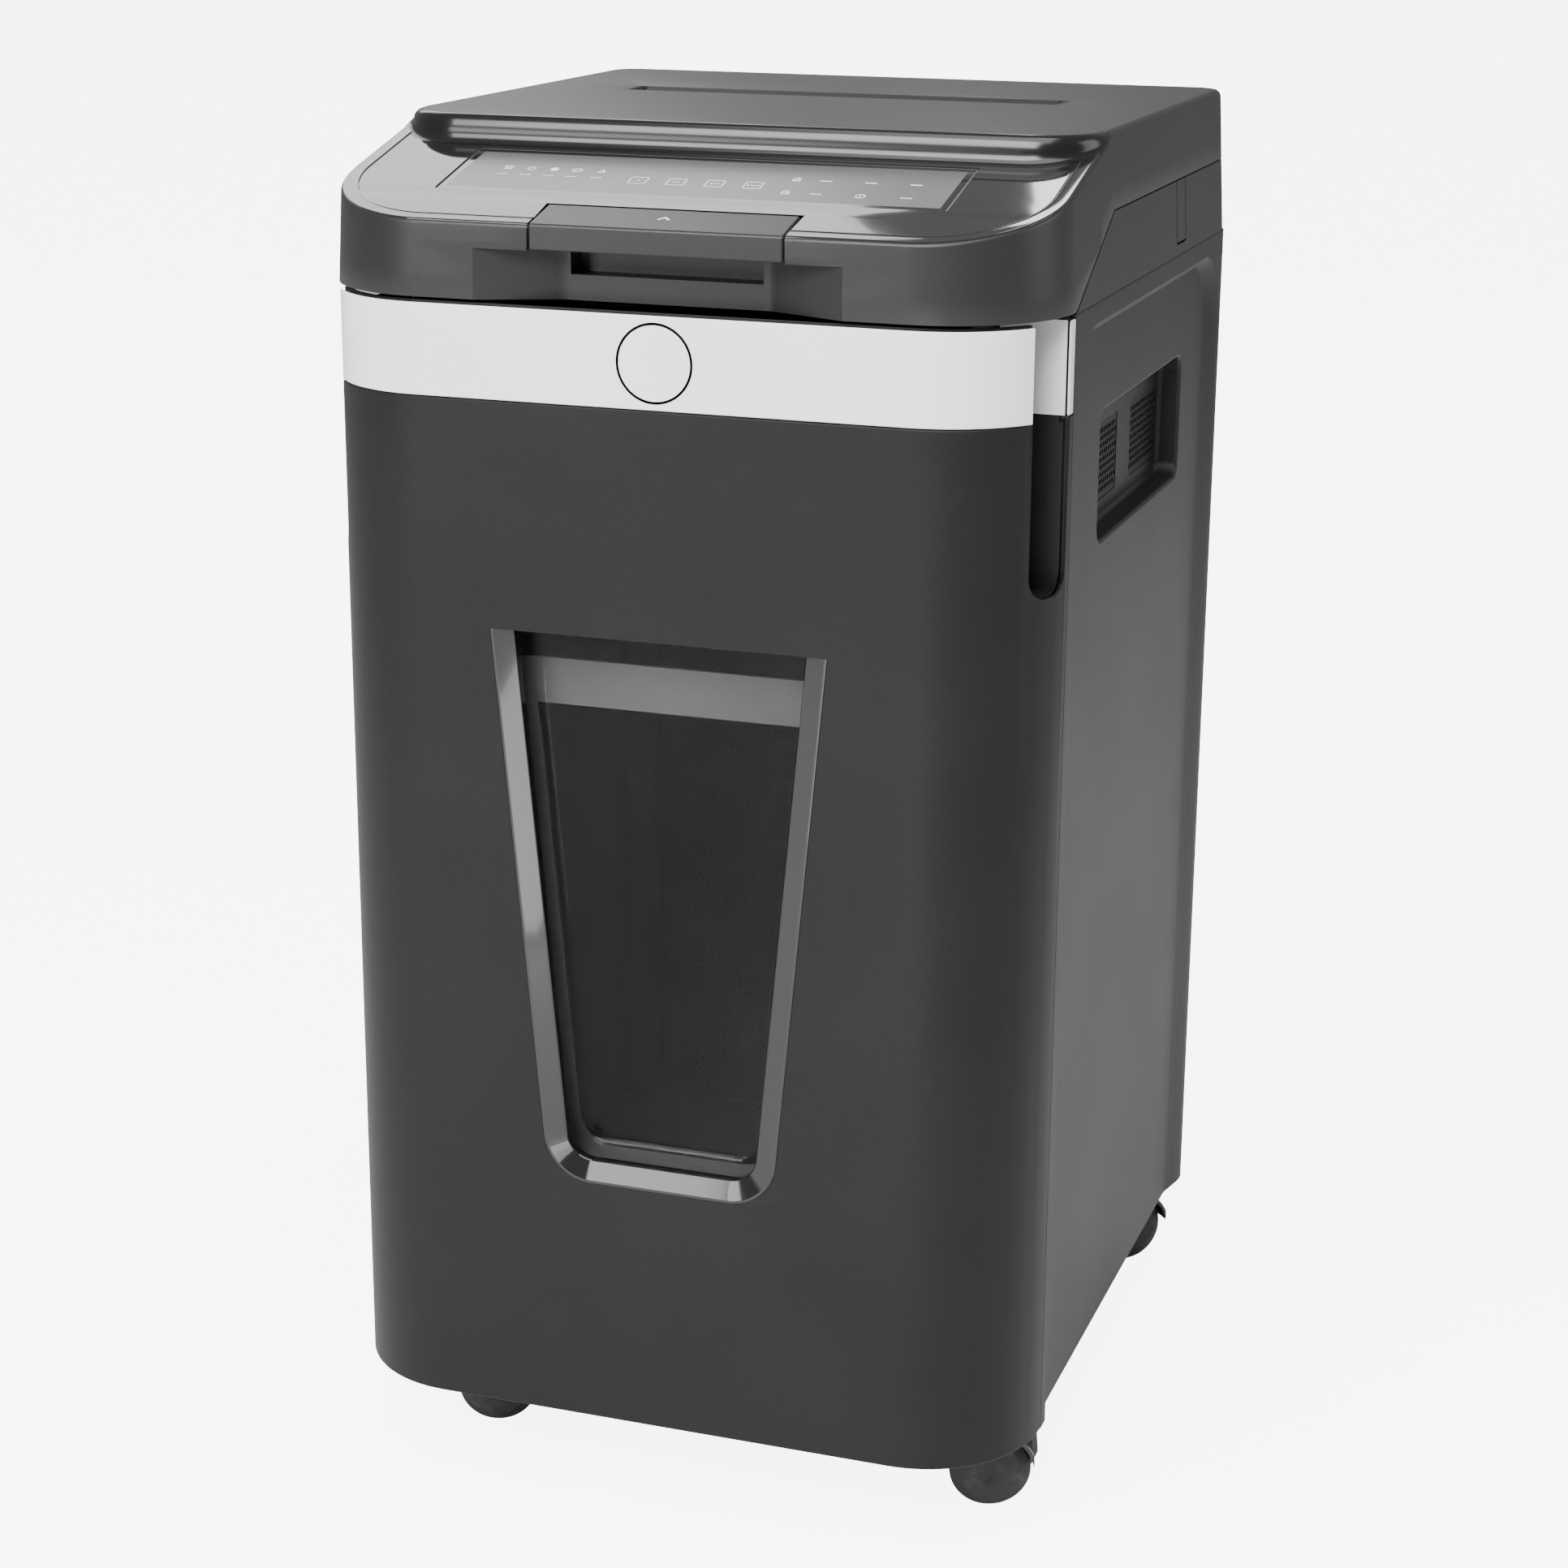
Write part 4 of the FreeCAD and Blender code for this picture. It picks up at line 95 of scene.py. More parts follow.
# ---------------------------------------------------------------- shader graphs
class Wire:
    """A shader socket that takes part in arithmetic."""

    def __init__(self, graph: "Graph", socket: bpy.types.NodeSocket) -> None:
        """Keeps the socket and the graph that it belongs to."""
        self.graph = graph
        self.socket = socket

    def _maths(self, operation: str, *values: object) -> "Wire":
        """Adds one Math node on the given values."""
        return self.graph.node("ShaderNodeMath", {"operation": operation}, dict(enumerate(values)))

    def __add__(self, other: object) -> "Wire":
        """Sum."""
        return self._maths("ADD", self, other)

    def __sub__(self, other: object) -> "Wire":
        """Difference."""
        return self._maths("SUBTRACT", self, other)

    def __rsub__(self, other: object) -> "Wire":
        """Difference with the socket on the right."""
        return self._maths("SUBTRACT", other, self)

    def __mul__(self, other: object) -> "Wire":
        """Product."""
        return self._maths("MULTIPLY", self, other)

    __radd__ = __add__
    __rmul__ = __mul__

    def over(self, low: float, high: float) -> "Wire":
        """Ramps smoothly from 0 at low to 1 at high."""
        links = {"Value": self, "From Min": low, "From Max": high}
        return self.graph.node("ShaderNodeMapRange", {"interpolation_type": "SMOOTHSTEP"}, links)



class Graph:
    """Node tree of one material."""

    def __init__(self, name: str) -> None:
        """Makes an empty material with its output and main shader."""
        self.material = bpy.data.materials.new(name)
        self.material.use_nodes = True
        self.tree = self.material.node_tree
        self.tree.nodes.clear()
        self.place = self.node("ShaderNodeTexCoord", {}, {}, "Object")
        self.shader = self.tree.nodes.new("ShaderNodeBsdfPrincipled")
        output = self.tree.nodes.new("ShaderNodeOutputMaterial")
        self.tree.links.new(self.shader.outputs[0], output.inputs["Surface"])

    def node(self, kind: str, settings: dict, values: dict, output: str | int = 0) -> Wire:
        """Adds a node.

        Args:
            kind: Type name of the node.
            settings: Attributes that are set before its sockets.
            values: Value or wire for each input, by name or number.
            output: Output that is handed back.

        Returns:
            The chosen output as a wire.
        """
        made = self.tree.nodes.new(kind)
        for name, value in settings.items():
            setattr(made, name, value)
        for name, value in values.items():
            self.connect(made.inputs[name], value)
        return Wire(self, made.outputs[output])

    def connect(self, socket: bpy.types.NodeSocket, value: object) -> None:
        """Links a wire to a socket, or sets the socket's own value."""
        if isinstance(value, Wire):
            self.tree.links.new(value.socket, socket)
        else:
            socket.default_value = value

    def feed(self, name: str, value: object) -> None:
        """Sets or links one input of the main shader."""
        self.connect(self.shader.inputs[name], value)

    def noise(self, scale: float, detail: float = 2.0, roughness: float = 0.5,
              stretch: Sequence[float] = (1.0, 1.0, 1.0)) -> Wire:
        """Soft noise fixed to the object.

        Args:
            scale: Cells per metre.
            detail: Octaves.
            roughness: Weight of the finer octaves.
            stretch: Scale along each axis.

        Returns:
            The noise value, 0 to 1.
        """
        where = self.node("ShaderNodeMapping", {}, {"Vector": self.place, "Scale": stretch})
        links = {"Vector": where, "Scale": scale, "Detail": detail, "Roughness": roughness}
        return self.node("ShaderNodeTexNoise", {}, links, "Fac")

    def grains(self, scale: float) -> Wire:
        """Distance to the nearest cell point of a fine cellular pattern."""
        return self.node("ShaderNodeTexVoronoi", {}, {"Vector": self.place, "Scale": scale}, "Distance")

    def blend(self, factor: object, first: Colour, second: Colour | Wire) -> Wire:
        """Mixes two colours by a factor."""
        links = {"Factor": factor, 6: (*first, 1.0), 7: second if isinstance(second, Wire) else (*second, 1.0)}
        return self.node("ShaderNodeMix", {"data_type": "RGBA"}, links, 2)

    def relief(self, height: Wire, depth: float) -> Wire:
        """Bump of a given depth in metres."""
        return self.node("ShaderNodeBump", {}, {"Height": height, "Distance": depth, "Strength": 1.0})


# ---------------------------------------------------------------- finishes
@dataclass(frozen=True)
class MouldedPlastic:
    """Fine-textured moulded plastic: even colour, satin sheen, spark-eroded grain."""

    name: str
    colour: Colour
    roughness: float = 0.42
    grain: float = 0.00003
    mottle: float = 0.10
    scuffs: float = 0.0
    sheen: float = 0.28

    def material(self) -> bpy.types.Material:
        """Builds the material."""
        graph = Graph(self.name)
        cloudy = graph.noise(9.0, 3.0)
        fine = graph.noise(900.0, 2.0, 0.6)
        darker = tuple(c * (1 - self.mottle) for c in self.colour)
        lighter = tuple(min(c * (1 + self.mottle), 1.0) for c in self.colour)
        tone = graph.blend(cloudy.over(0.3, 0.7), darker, lighter)
        rough = cloudy * 0.10 + fine * 0.08 + (self.roughness - 0.09)
        if self.scuffs:
            worn = graph.noise(60.0, 5.0, 0.7, (1.0, 1.0, 0.25)).over(0.58, 0.74) * self.scuffs
            dusty = tuple(min(c * 2.2 + 0.05, 1.0) for c in self.colour)
            links = {"Factor": worn, 6: tone, 7: (*dusty, 1.0)}
            tone = graph.node("ShaderNodeMix", {"data_type": "RGBA"}, links, 2)
            rough = rough + worn * 0.2
        graph.feed("Base Color", tone)
        graph.feed("Roughness", rough)
        graph.feed("Specular IOR Level", self.sheen)
        if self.grain:
            graph.feed("Normal", graph.relief(graph.grains(1500.0) + fine, self.grain))
        return graph.material


@dataclass(frozen=True)
class GlossPlastic:
    """Piano-gloss plastic: dark and mirror-like, with a faint ripple and a trace of dust."""

    name: str
    colour: Colour
    roughness: float = 0.055
    ripple: float = 0.00001
    dust: float = 0.5
    coat: float = 0.4

    def material(self) -> bpy.types.Material:
        """Builds the material."""
        graph = Graph(self.name)
        broad = graph.noise(24.0, 2.0)
        specks = (1 - graph.grains(420.0)).over(0.93, 0.985) * self.dust
        smear = graph.noise(14.0, 4.0, 0.6, (1.0, 0.4, 1.0)).over(0.45, 0.8)
        graph.feed("Base Color", graph.blend(specks * 0.35, self.colour, (0.32, 0.32, 0.32)))
        graph.feed("Roughness", smear * 0.05 + specks * 0.3 + self.roughness)
        graph.feed("Normal", graph.relief(broad, self.ripple))
        graph.feed("Coat Weight", self.coat)
        graph.feed("Coat Roughness", 0.03)
        return graph.material


@dataclass(frozen=True)
class ClearPlastic:
    """Clear thin moulding: a faint grey film that mirrors more at a slant, with hairline scratches."""

    name: str
    tint: Colour = (0.30, 0.30, 0.31)
    film: float = 0.02

    def material(self) -> bpy.types.Material:
        """Builds the material."""
        graph = Graph(self.name)
        hair = graph.noise(120.0, 4.0, 0.7, (0.08, 1.0, 1.0)).over(0.62, 0.75)
        slant = graph.node("ShaderNodeLayerWeight", {}, {"Blend": 0.35}, "Facing")
        graph.feed("Base Color", (*self.tint, 1.0))
        graph.feed("Metallic", 0.9)
        graph.feed("Roughness", hair * 0.12 + 0.05)
        graph.feed("Alpha", slant * slant * 0.3 + hair * 0.02 + self.film)
        return graph.material


@dataclass(frozen=True)
class Metal:
    """Bare or plated metal with drawn lines, spangle or machining marks."""

    name: str
    colour: Colour
    roughness: float = 0.3
    lines: Sequence[float] = (1.0, 1.0, 1.0)
    spangle: float = 0.0
    oil: float = 0.0

    def material(self) -> bpy.types.Material:
        """Builds the material."""
        graph = Graph(self.name)
        drawn = graph.noise(260.0, 3.0, 0.65, self.lines)
        cells = graph.node("ShaderNodeTexVoronoi", {}, {"Vector": graph.place, "Scale": 160.0}, "Color")
        facet = graph.node("ShaderNodeSeparateColor", {}, {"Color": cells})
        dull = tuple(c * 0.72 for c in self.colour)
        mix = drawn.over(0.35, 0.7) * (1 - self.spangle) + facet * self.spangle
        tone = graph.blend(mix, dull, self.colour)
        film = graph.noise(22.0, 3.0).over(0.5, 0.72) * self.oil
        graph.feed("Base Color", graph.node("ShaderNodeMix", {"data_type": "RGBA"},
                                            {"Factor": film, 6: tone, 7: (0.05, 0.045, 0.04, 1.0)}, 2))
        graph.feed("Metallic", 1 - film * 0.5)
        graph.feed("Roughness", drawn * 0.14 + facet * (0.12 * self.spangle) + self.roughness - 0.07)
        graph.feed("Normal", graph.relief(drawn, 0.00002))
        return graph.material


@dataclass(frozen=True)
class Rubber:
    """Matt ribbed rubber with lighter scuffing."""

    name: str
    colour: Colour
    ribs: float = 900.0

    def material(self) -> bpy.types.Material:
        """Builds the material."""
        graph = Graph(self.name)
        rough = graph.noise(70.0, 5.0, 0.7)
        fine = graph.noise(self.ribs, 2.0)
        pale = tuple(c * 1.9 + 0.01 for c in self.colour)
        graph.feed("Base Color", graph.blend(rough.over(0.45, 0.75), self.colour, pale))
        graph.feed("Roughness", rough * 0.2 + 0.6)
        graph.feed("Normal", graph.relief(fine, 0.00008))
        return graph.material


@dataclass(frozen=True)
class CircuitBoard:
    """Solder-masked board with copper tracks under the mask."""

    name: str
    mask: Colour = (0.012, 0.10, 0.035)
    track: Colour = (0.03, 0.22, 0.08)

    def material(self) -> bpy.types.Material:
        """Builds the material."""
        graph = Graph(self.name)
        links = {"Vector": graph.place, "Scale": 700.0, "Mortar Size": 0.03}
        runs = graph.node("ShaderNodeTexBrick", {}, links, "Fac")
        patch = graph.noise(40.0, 1.0).over(0.48, 0.52)
        lines = runs * patch
        graph.feed("Base Color", graph.blend(lines, self.mask, self.track))
        graph.feed("Roughness", lines * 0.1 + 0.28)
        graph.feed("Normal", graph.relief(lines, 0.00004))
        return graph.material


@dataclass(frozen=True)
class GlowInk:
    """Printed marking on the touch strip, faintly lit from behind. The lever's arrow uses it too, and there its
    glow is a painted highlight.
    """

    name: str
    colour: Colour = (0.62, 0.62, 0.62)

    def material(self) -> bpy.types.Material:
        """Builds the material."""
        graph = Graph(self.name)
        uneven = graph.noise(300.0, 2.0)
        soft = tuple(c * 0.85 for c in self.colour)
        graph.feed("Base Color", graph.blend(uneven, soft, self.colour))
        graph.feed("Roughness", uneven * 0.1 + 0.4)
        graph.feed("Emission Color", graph.blend(uneven, soft, self.colour))
        graph.feed("Emission Strength", 1.5)
        return graph.material


class Finish(Enum):
    """Every finish on the machine."""

    FRONT = MouldedPlastic("front_charcoal", (0.0095, 0.0095, 0.0098), 0.42, sheen=0.22)
    SIDE = MouldedPlastic("side_charcoal", (0.014, 0.014, 0.0143), 0.40)
    LID = MouldedPlastic("lid_charcoal", (0.015, 0.015, 0.0154), 0.36, sheen=0.4)
    INNER = MouldedPlastic("inner_black", (0.011, 0.011, 0.011), 0.5, scuffs=0.12)
    BIN = MouldedPlastic("bin_grey", (0.060, 0.060, 0.061), 0.45, 0.0, 0.15, 0.03, 0.3)
    BAND = MouldedPlastic("band_white", (0.90, 0.90, 0.90), 0.22, 0.000008, 0.012, sheen=0.5)
    SILVER = Metal("badge_silver", (0.24, 0.24, 0.245), 0.34, (1.0, 1.0, 6.0))
    GLOSS = GlossPlastic("deck_gloss", (0.012, 0.012, 0.012))
    LIP = GlossPlastic("step_gloss", (0.006, 0.006, 0.006), 0.20, coat=0.0)
    BEZEL = GlossPlastic("bezel_gloss", (0.008, 0.008, 0.008), 0.07)
    GLASS = GlossPlastic("touch_glass", (0.055, 0.055, 0.056), 0.20, dust=0.2)
    INK = GlowInk("key_ink")
    CLEAR = ClearPlastic("window_clear")
    ZINC = Metal("galvanised_steel", (0.60, 0.61, 0.62), 0.38, spangle=0.7)
    HARD = Metal("hardened_steel", (0.34, 0.34, 0.35), 0.28, (6.0, 1.0, 1.0), oil=0.5)
    GEAR = Metal("gear_steel", (0.46, 0.46, 0.47), 0.34, oil=0.7)
    SPRING = Metal("spring_steel", (0.52, 0.53, 0.55), 0.26)
    NYLON = MouldedPlastic("white_nylon", (0.62, 0.60, 0.55), 0.38)
    MOTOR = MouldedPlastic("motor_paint", (0.03, 0.032, 0.036), 0.32, 0.00006)
    BOARD = CircuitBoard("board_green")
    RUBBER = Rubber("roller_rubber", (0.02, 0.02, 0.02))
    CASTER = GlossPlastic("caster_black", (0.010, 0.010, 0.010), 0.16)
    TYRE = Rubber("tyre_rubber", (0.022, 0.022, 0.022), 400.0)

    def material(self) -> bpy.types.Material:
        """Returns the finish's material, making it on first use."""
        made = bpy.data.materials.get(self.value.name)
        return made if made else self.value.material()


# ---------------------------------------------------------------- outlines and sheets
@dataclass(frozen=True)
class Outline:
    """Closed outline with rounded corners, each corner given as (u, v, radius)."""

    corners: Sequence[Sequence[float]]
    steps: int = 10

    def loop(self, inset: float | Sequence[float] = 0.0) -> Loop:
        """Points of the outline moved inwards.

        Every edge is shifted along its inward normal by its inset. Neighbouring edges meet again where the
        shifted lines cross, and each corner becomes a tangent arc whose radius shrinks by the inset, or grows
        at a hollow corner. The count of points doesn't depend on the inset.

        Args:
            inset: One distance for all edges, or one for each edge that starts at a corner.

        Returns:
            Array of shape (n, 2).
        """
        spots = np.array([c[:2] for c in self.corners], float)
        radii = np.array([c[2] if len(c) > 2 else 0.0 for c in self.corners])
        shift = np.broadcast_to(np.asarray(inset, float), (len(spots),))
        along = np.roll(spots, -1, axis=0) - spots
        along /= np.linalg.norm(along, axis=1)[:, None]
        area = np.sum(spots[:, 0] * np.roll(spots[:, 1], -1) - spots[:, 1] * np.roll(spots[:, 0], -1))
        side = 1.0 if area > 0 else -1.0
        inward = side * np.stack([-along[:, 1], along[:, 0]], axis=1)
        pieces = []
        for i, radius in enumerate(radii):
            before, after = along[i - 1], along[i]
            system = np.stack([inward[i - 1], inward[i]])
            levels = np.array([inward[i - 1] @ spots[i] + shift[i - 1], inward[i] @ spots[i] + shift[i]])
            corner = np.linalg.solve(system, levels)
            if radius <= 0:
                pieces.append(corner[None])
                continue
            turn = before[0] * after[1] - before[1] * after[0]
            mean = (shift[i - 1] + shift[i]) / 2
            size = max(radius - mean, 0.05) if turn * side > 0 else radius + mean
            angle = math.atan2(turn, before @ after)
            reach = size * abs(math.tan(angle / 2))
            start = corner - before * reach
            centre = start + size * math.copysign(1.0, turn) * np.array([-before[1], before[0]])
            first = math.atan2(*(start - centre)[::-1])
            sweep = first + angle * np.linspace(0, 1, self.steps + 1)
            pieces.append(centre + size * np.stack([np.cos(sweep), np.sin(sweep)], axis=1))
        return np.concatenate(pieces)


def rectangle(u: Sequence[float], v: Sequence[float], radius: float = 0.0, steps: int = 6) -> Outline:
    """Outline of a rectangle given by its spans and one corner radius."""
    corners = [(u[0], v[0]), (u[1], v[0]), (u[1], v[1]), (u[0], v[1])]
    return Outline([(*corner, radius) for corner in corners], steps)


class Plane(Enum):
    """Planes that outlines are drawn on: the order in which (u, v, level) become (x, y, z)."""

    XY = (0, 1, 2)
    YZ = (2, 0, 1)
    XZ = (0, 2, 1)

    def lift(self, loop: Loop, level: float | np.ndarray) -> np.ndarray:
        """Places plane points at a level along the plane's normal.

        Args:
            loop: Array (n, 2) of plane points.
            level: One level, or one for each point.

        Returns:
            Array (n, 3).
        """
        flat = np.column_stack([loop, np.broadcast_to(level, (len(loop),))])
        return flat[:, list(self.value)]


def rounding(radius: float, steps: int = 4) -> list[tuple[float, float]]:
    """Quarter circle as (inset, drop) pairs, from the side wall to the face.

    The inset is r(1 - cos a) and the drop below the face r(1 - sin a), for a from 0 to 90 degrees.
    """
    turn = np.linspace(0, math.pi / 2, steps + 1)
    return [(radius * (1 - math.cos(a)), radius * (1 - math.sin(a))) for a in turn]


@dataclass
class Dress:
    """What a finished piece needs besides its mesh."""

    finish: Finish
    body: str
    slot: str
    replaces: tuple[str, ...] = ()
    wall: float = 0.0
    bevel: float = 0.0
    bevel_angle: float = 32.0


class Sheet:
    """Collects patches of surface and makes one object of them."""

    def __init__(self) -> None:
        """Starts with no patches."""
        self.points: list[np.ndarray] = []
        self.faces: list[list[int]] = []
        self.count = 0

    def patch(self, points: np.ndarray, faces: Sequence[Sequence[int]]) -> None:
        """Adds points (n, 3) and faces that index them."""
        self.points.append(np.asarray(points, float))
        self.faces.extend([[i + self.count for i in face] for face in faces])
        self.count += len(points)

    def grid(self, rows: Sequence[np.ndarray] | np.ndarray, closed: bool = False) -> None:
        """Adds a grid of points as four-sided faces.

        Args:
            rows: Array (r, c, 3): a profile of r points carried along a path of c places.
            closed: Whether the last column joins the first.
        """
        block = np.asarray(rows, float)
        high, wide = block.shape[:2]
        index = np.arange(high * wide).reshape(high, wide)
        here = index if closed else index[:, :-1]
        there = np.roll(index, -1, axis=1) if closed else index[:, 1:]
        quads = np.stack([here[:-1], there[:-1], there[1:], here[1:]], axis=-1).reshape(-1, 4)
        self.patch(block.reshape(-1, 3), quads.tolist())

    def fill(self, outer: np.ndarray, *holes: np.ndarray) -> None:
        """Adds a flat or nearly flat region between an outer loop (n, 3) and holes in it."""
        loops = [outer, *holes]
        faces = tessellate_polygon([[Vector(p) for p in loop] for loop in loops])
        self.patch(np.concatenate(loops), faces)

    def mirror(self) -> None:
        """Adds the mirror image of everything so far across the centre plane."""
        points = np.concatenate(self.points)
        faces = [list(face) for face in self.faces]
        self.patch(points * [-1.0, 1.0, 1.0], faces)

    def bar(self, outline: Outline, plane: Plane, low: float, high: float, edge: float = 0.0,
            holes: Sequence[Outline] = ()) -> None:
        """Adds a closed slab of an outline between two levels, with rounded rims.

        Args:
            outline: Outer outline.
            plane: Plane that it is drawn on.
            low: Lower level.
            high: Upper level.
            edge: Radius of the rims.
            holes: Outlines of holes right through.
        """
        round_up = rounding(edge, 3) if edge else [(0.0, 0.0)]
        rims = [(a, high - b) for a, b in round_up]
        rims = [(a, low + b) for a, b in reversed(round_up)] + rims
        for ring, sign in [(outline, 1.0)] + [(hole, -1.0) for hole in holes]:
            self.grid([plane.lift(ring.loop(sign * a), z) for a, z in rims], closed=True)
        inset, level = rims[-1]
        for z in (low, level):
            caps = [plane.lift(hole.loop(-inset), z) for hole in holes]
            self.fill(plane.lift(outline.loop(inset), z), *caps)

    def make(self, name: str, dress: Dress, outward: Sequence[float] | None = None) -> bpy.types.Object:
        """Welds the patches into an object in the frame and dresses it.

        Args:
            name: Name of the piece.
            dress: Finish, body, slot and wall.
            outward: Rough direction that an open sheet faces, or None for a closed one.

        Returns:
            The finished object.
        """
        points = np.concatenate(self.points) * MM + [0.0, FRONT * MM, 0.0]
        mesh = bpy.data.meshes.new(name)
        mesh.from_pydata(points.tolist(), [], self.faces)
        shape = bmesh.new()
        shape.from_mesh(mesh)
        bmesh.ops.remove_doubles(shape, verts=shape.verts, dist=0.02 * MM)
        bmesh.ops.dissolve_degenerate(shape, edges=shape.edges, dist=0.005 * MM)
        bmesh.ops.recalc_face_normals(shape, faces=shape.faces)
        if outward is not None:
            lean = sum((f.normal * f.calc_area() for f in shape.faces), Vector())
            if lean.dot(Vector(outward)) < 0:
                bmesh.ops.reverse_faces(shape, faces=shape.faces)
        shape.to_mesh(mesh)
        shape.free()
        return dressed(name, mesh, dress)


def dressed(name: str, mesh: bpy.types.Mesh, dress: Dress) -> bpy.types.Object:
    """Makes an object of a mesh with its finish, walls, edges and place in the frame.

    Args:
        name: Name of the piece.
        mesh: Its mesh, already in the frame.
        dress: Finish, body, slot and wall.

    Returns:
        The finished object.
    """
    mesh.polygons.foreach_set("use_smooth", [True] * len(mesh.polygons))
    mesh.materials.append(dress.finish.material())
    piece = bpy.data.objects.new(name, mesh)
    bpy.context.scene.collection.objects.link(piece)
    if dress.wall:
        solid = piece.modifiers.new("wall", "SOLIDIFY")
        solid.thickness = dress.wall * MM
        solid.offset = -1.0
        solid.use_even_offset = True
    if dress.bevel:
        edge = piece.modifiers.new("edge", "BEVEL")
        edge.width = dress.bevel * MM
        edge.segments = 2
        edge.limit_method = "ANGLE"
        edge.angle_limit = math.radians(dress.bevel_angle)
    smooth = piece.modifiers.new("shade", "WEIGHTED_NORMAL")
    smooth.keep_sharp = True
    mesh.set_sharp_from_angle(angle=math.radians(50 if dress.bevel else 32))
    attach(piece, dress.body)
    if dress.replaces:
        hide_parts(*dress.replaces)
    LOG.info("%s: %d faces", name, len(mesh.polygons))
    return piece


# ---------------------------------------------------------------- carried-over pieces
class CadFinishes:
    """Gives every CAD node that stays visible its finish."""

    table: dict[Finish, tuple[str, ...]] = {
        Finish.INNER: ("base_tray", "rear_panel", "side_grilles", "support_deck", "hinge_brackets", "fan_frame",
                       "power_inlet", "power_rocker", "slot_liner", "latch_hooks", "fan_impeller", "feed_tray",
                       "pressure_plate"),
        Finish.LID: ("head_housing", "lid_shell", "grip_scoop", "lift_lever"),
        Finish.SIDE: ("side_panel_right", "side_panel_left"),
        Finish.FRONT: ("bin_front",),
        Finish.BIN: ("bin_tub",),
        Finish.BAND: ("front_band",),
        Finish.SILVER: ("badge",),
        Finish.BEZEL: ("window_bezel",),
        Finish.CLEAR: ("window_pane",),
        Finish.GLOSS: ("gloss_panel",),
        Finish.GLASS: ("touch_panel",),
        Finish.ZINC: ("drawer_rails", "cutter_side_plates", "motor_bracket", "caster_plates", "case_screws"),
        Finish.HARD: ("cutter_front", "cutter_rear", "cutter_tie_rods"),
        Finish.GEAR: ("front_gears", "rear_gears", "idler_gear", "motor_pinion"),
        Finish.SPRING: ("plate_springs",),
        Finish.NYLON: ("shaft_bushes", "stripper_combs", "feed_idler_front", "feed_idler_rear"),
        Finish.MOTOR: ("motor",),
        Finish.BOARD: ("control_board",),
        Finish.RUBBER: ("feed_roller_front", "feed_roller_rear"),
    }
    casters: tuple[str, ...] = ("front_left", "front_right", "rear_left", "rear_right")

    def apply(self) -> None:
        """Puts the finishes on the nodes' own material slots."""
        for finish, nodes in self.table.items():
            for node in nodes:
                self.paint(node, finish)
        for corner in self.casters:
            self.paint(f"caster_hood_{corner}", Finish.CASTER)
            self.paint(f"caster_pedal_{corner}", Finish.CASTER)
            self.paint(f"caster_wheels_{corner}", Finish.TYRE)

    @staticmethod
    def paint(node: str, finish: Finish) -> None:
        """Assigns one finish to one node."""
        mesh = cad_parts[node].data
        mesh.materials.clear()
        mesh.materials.append(finish.material())


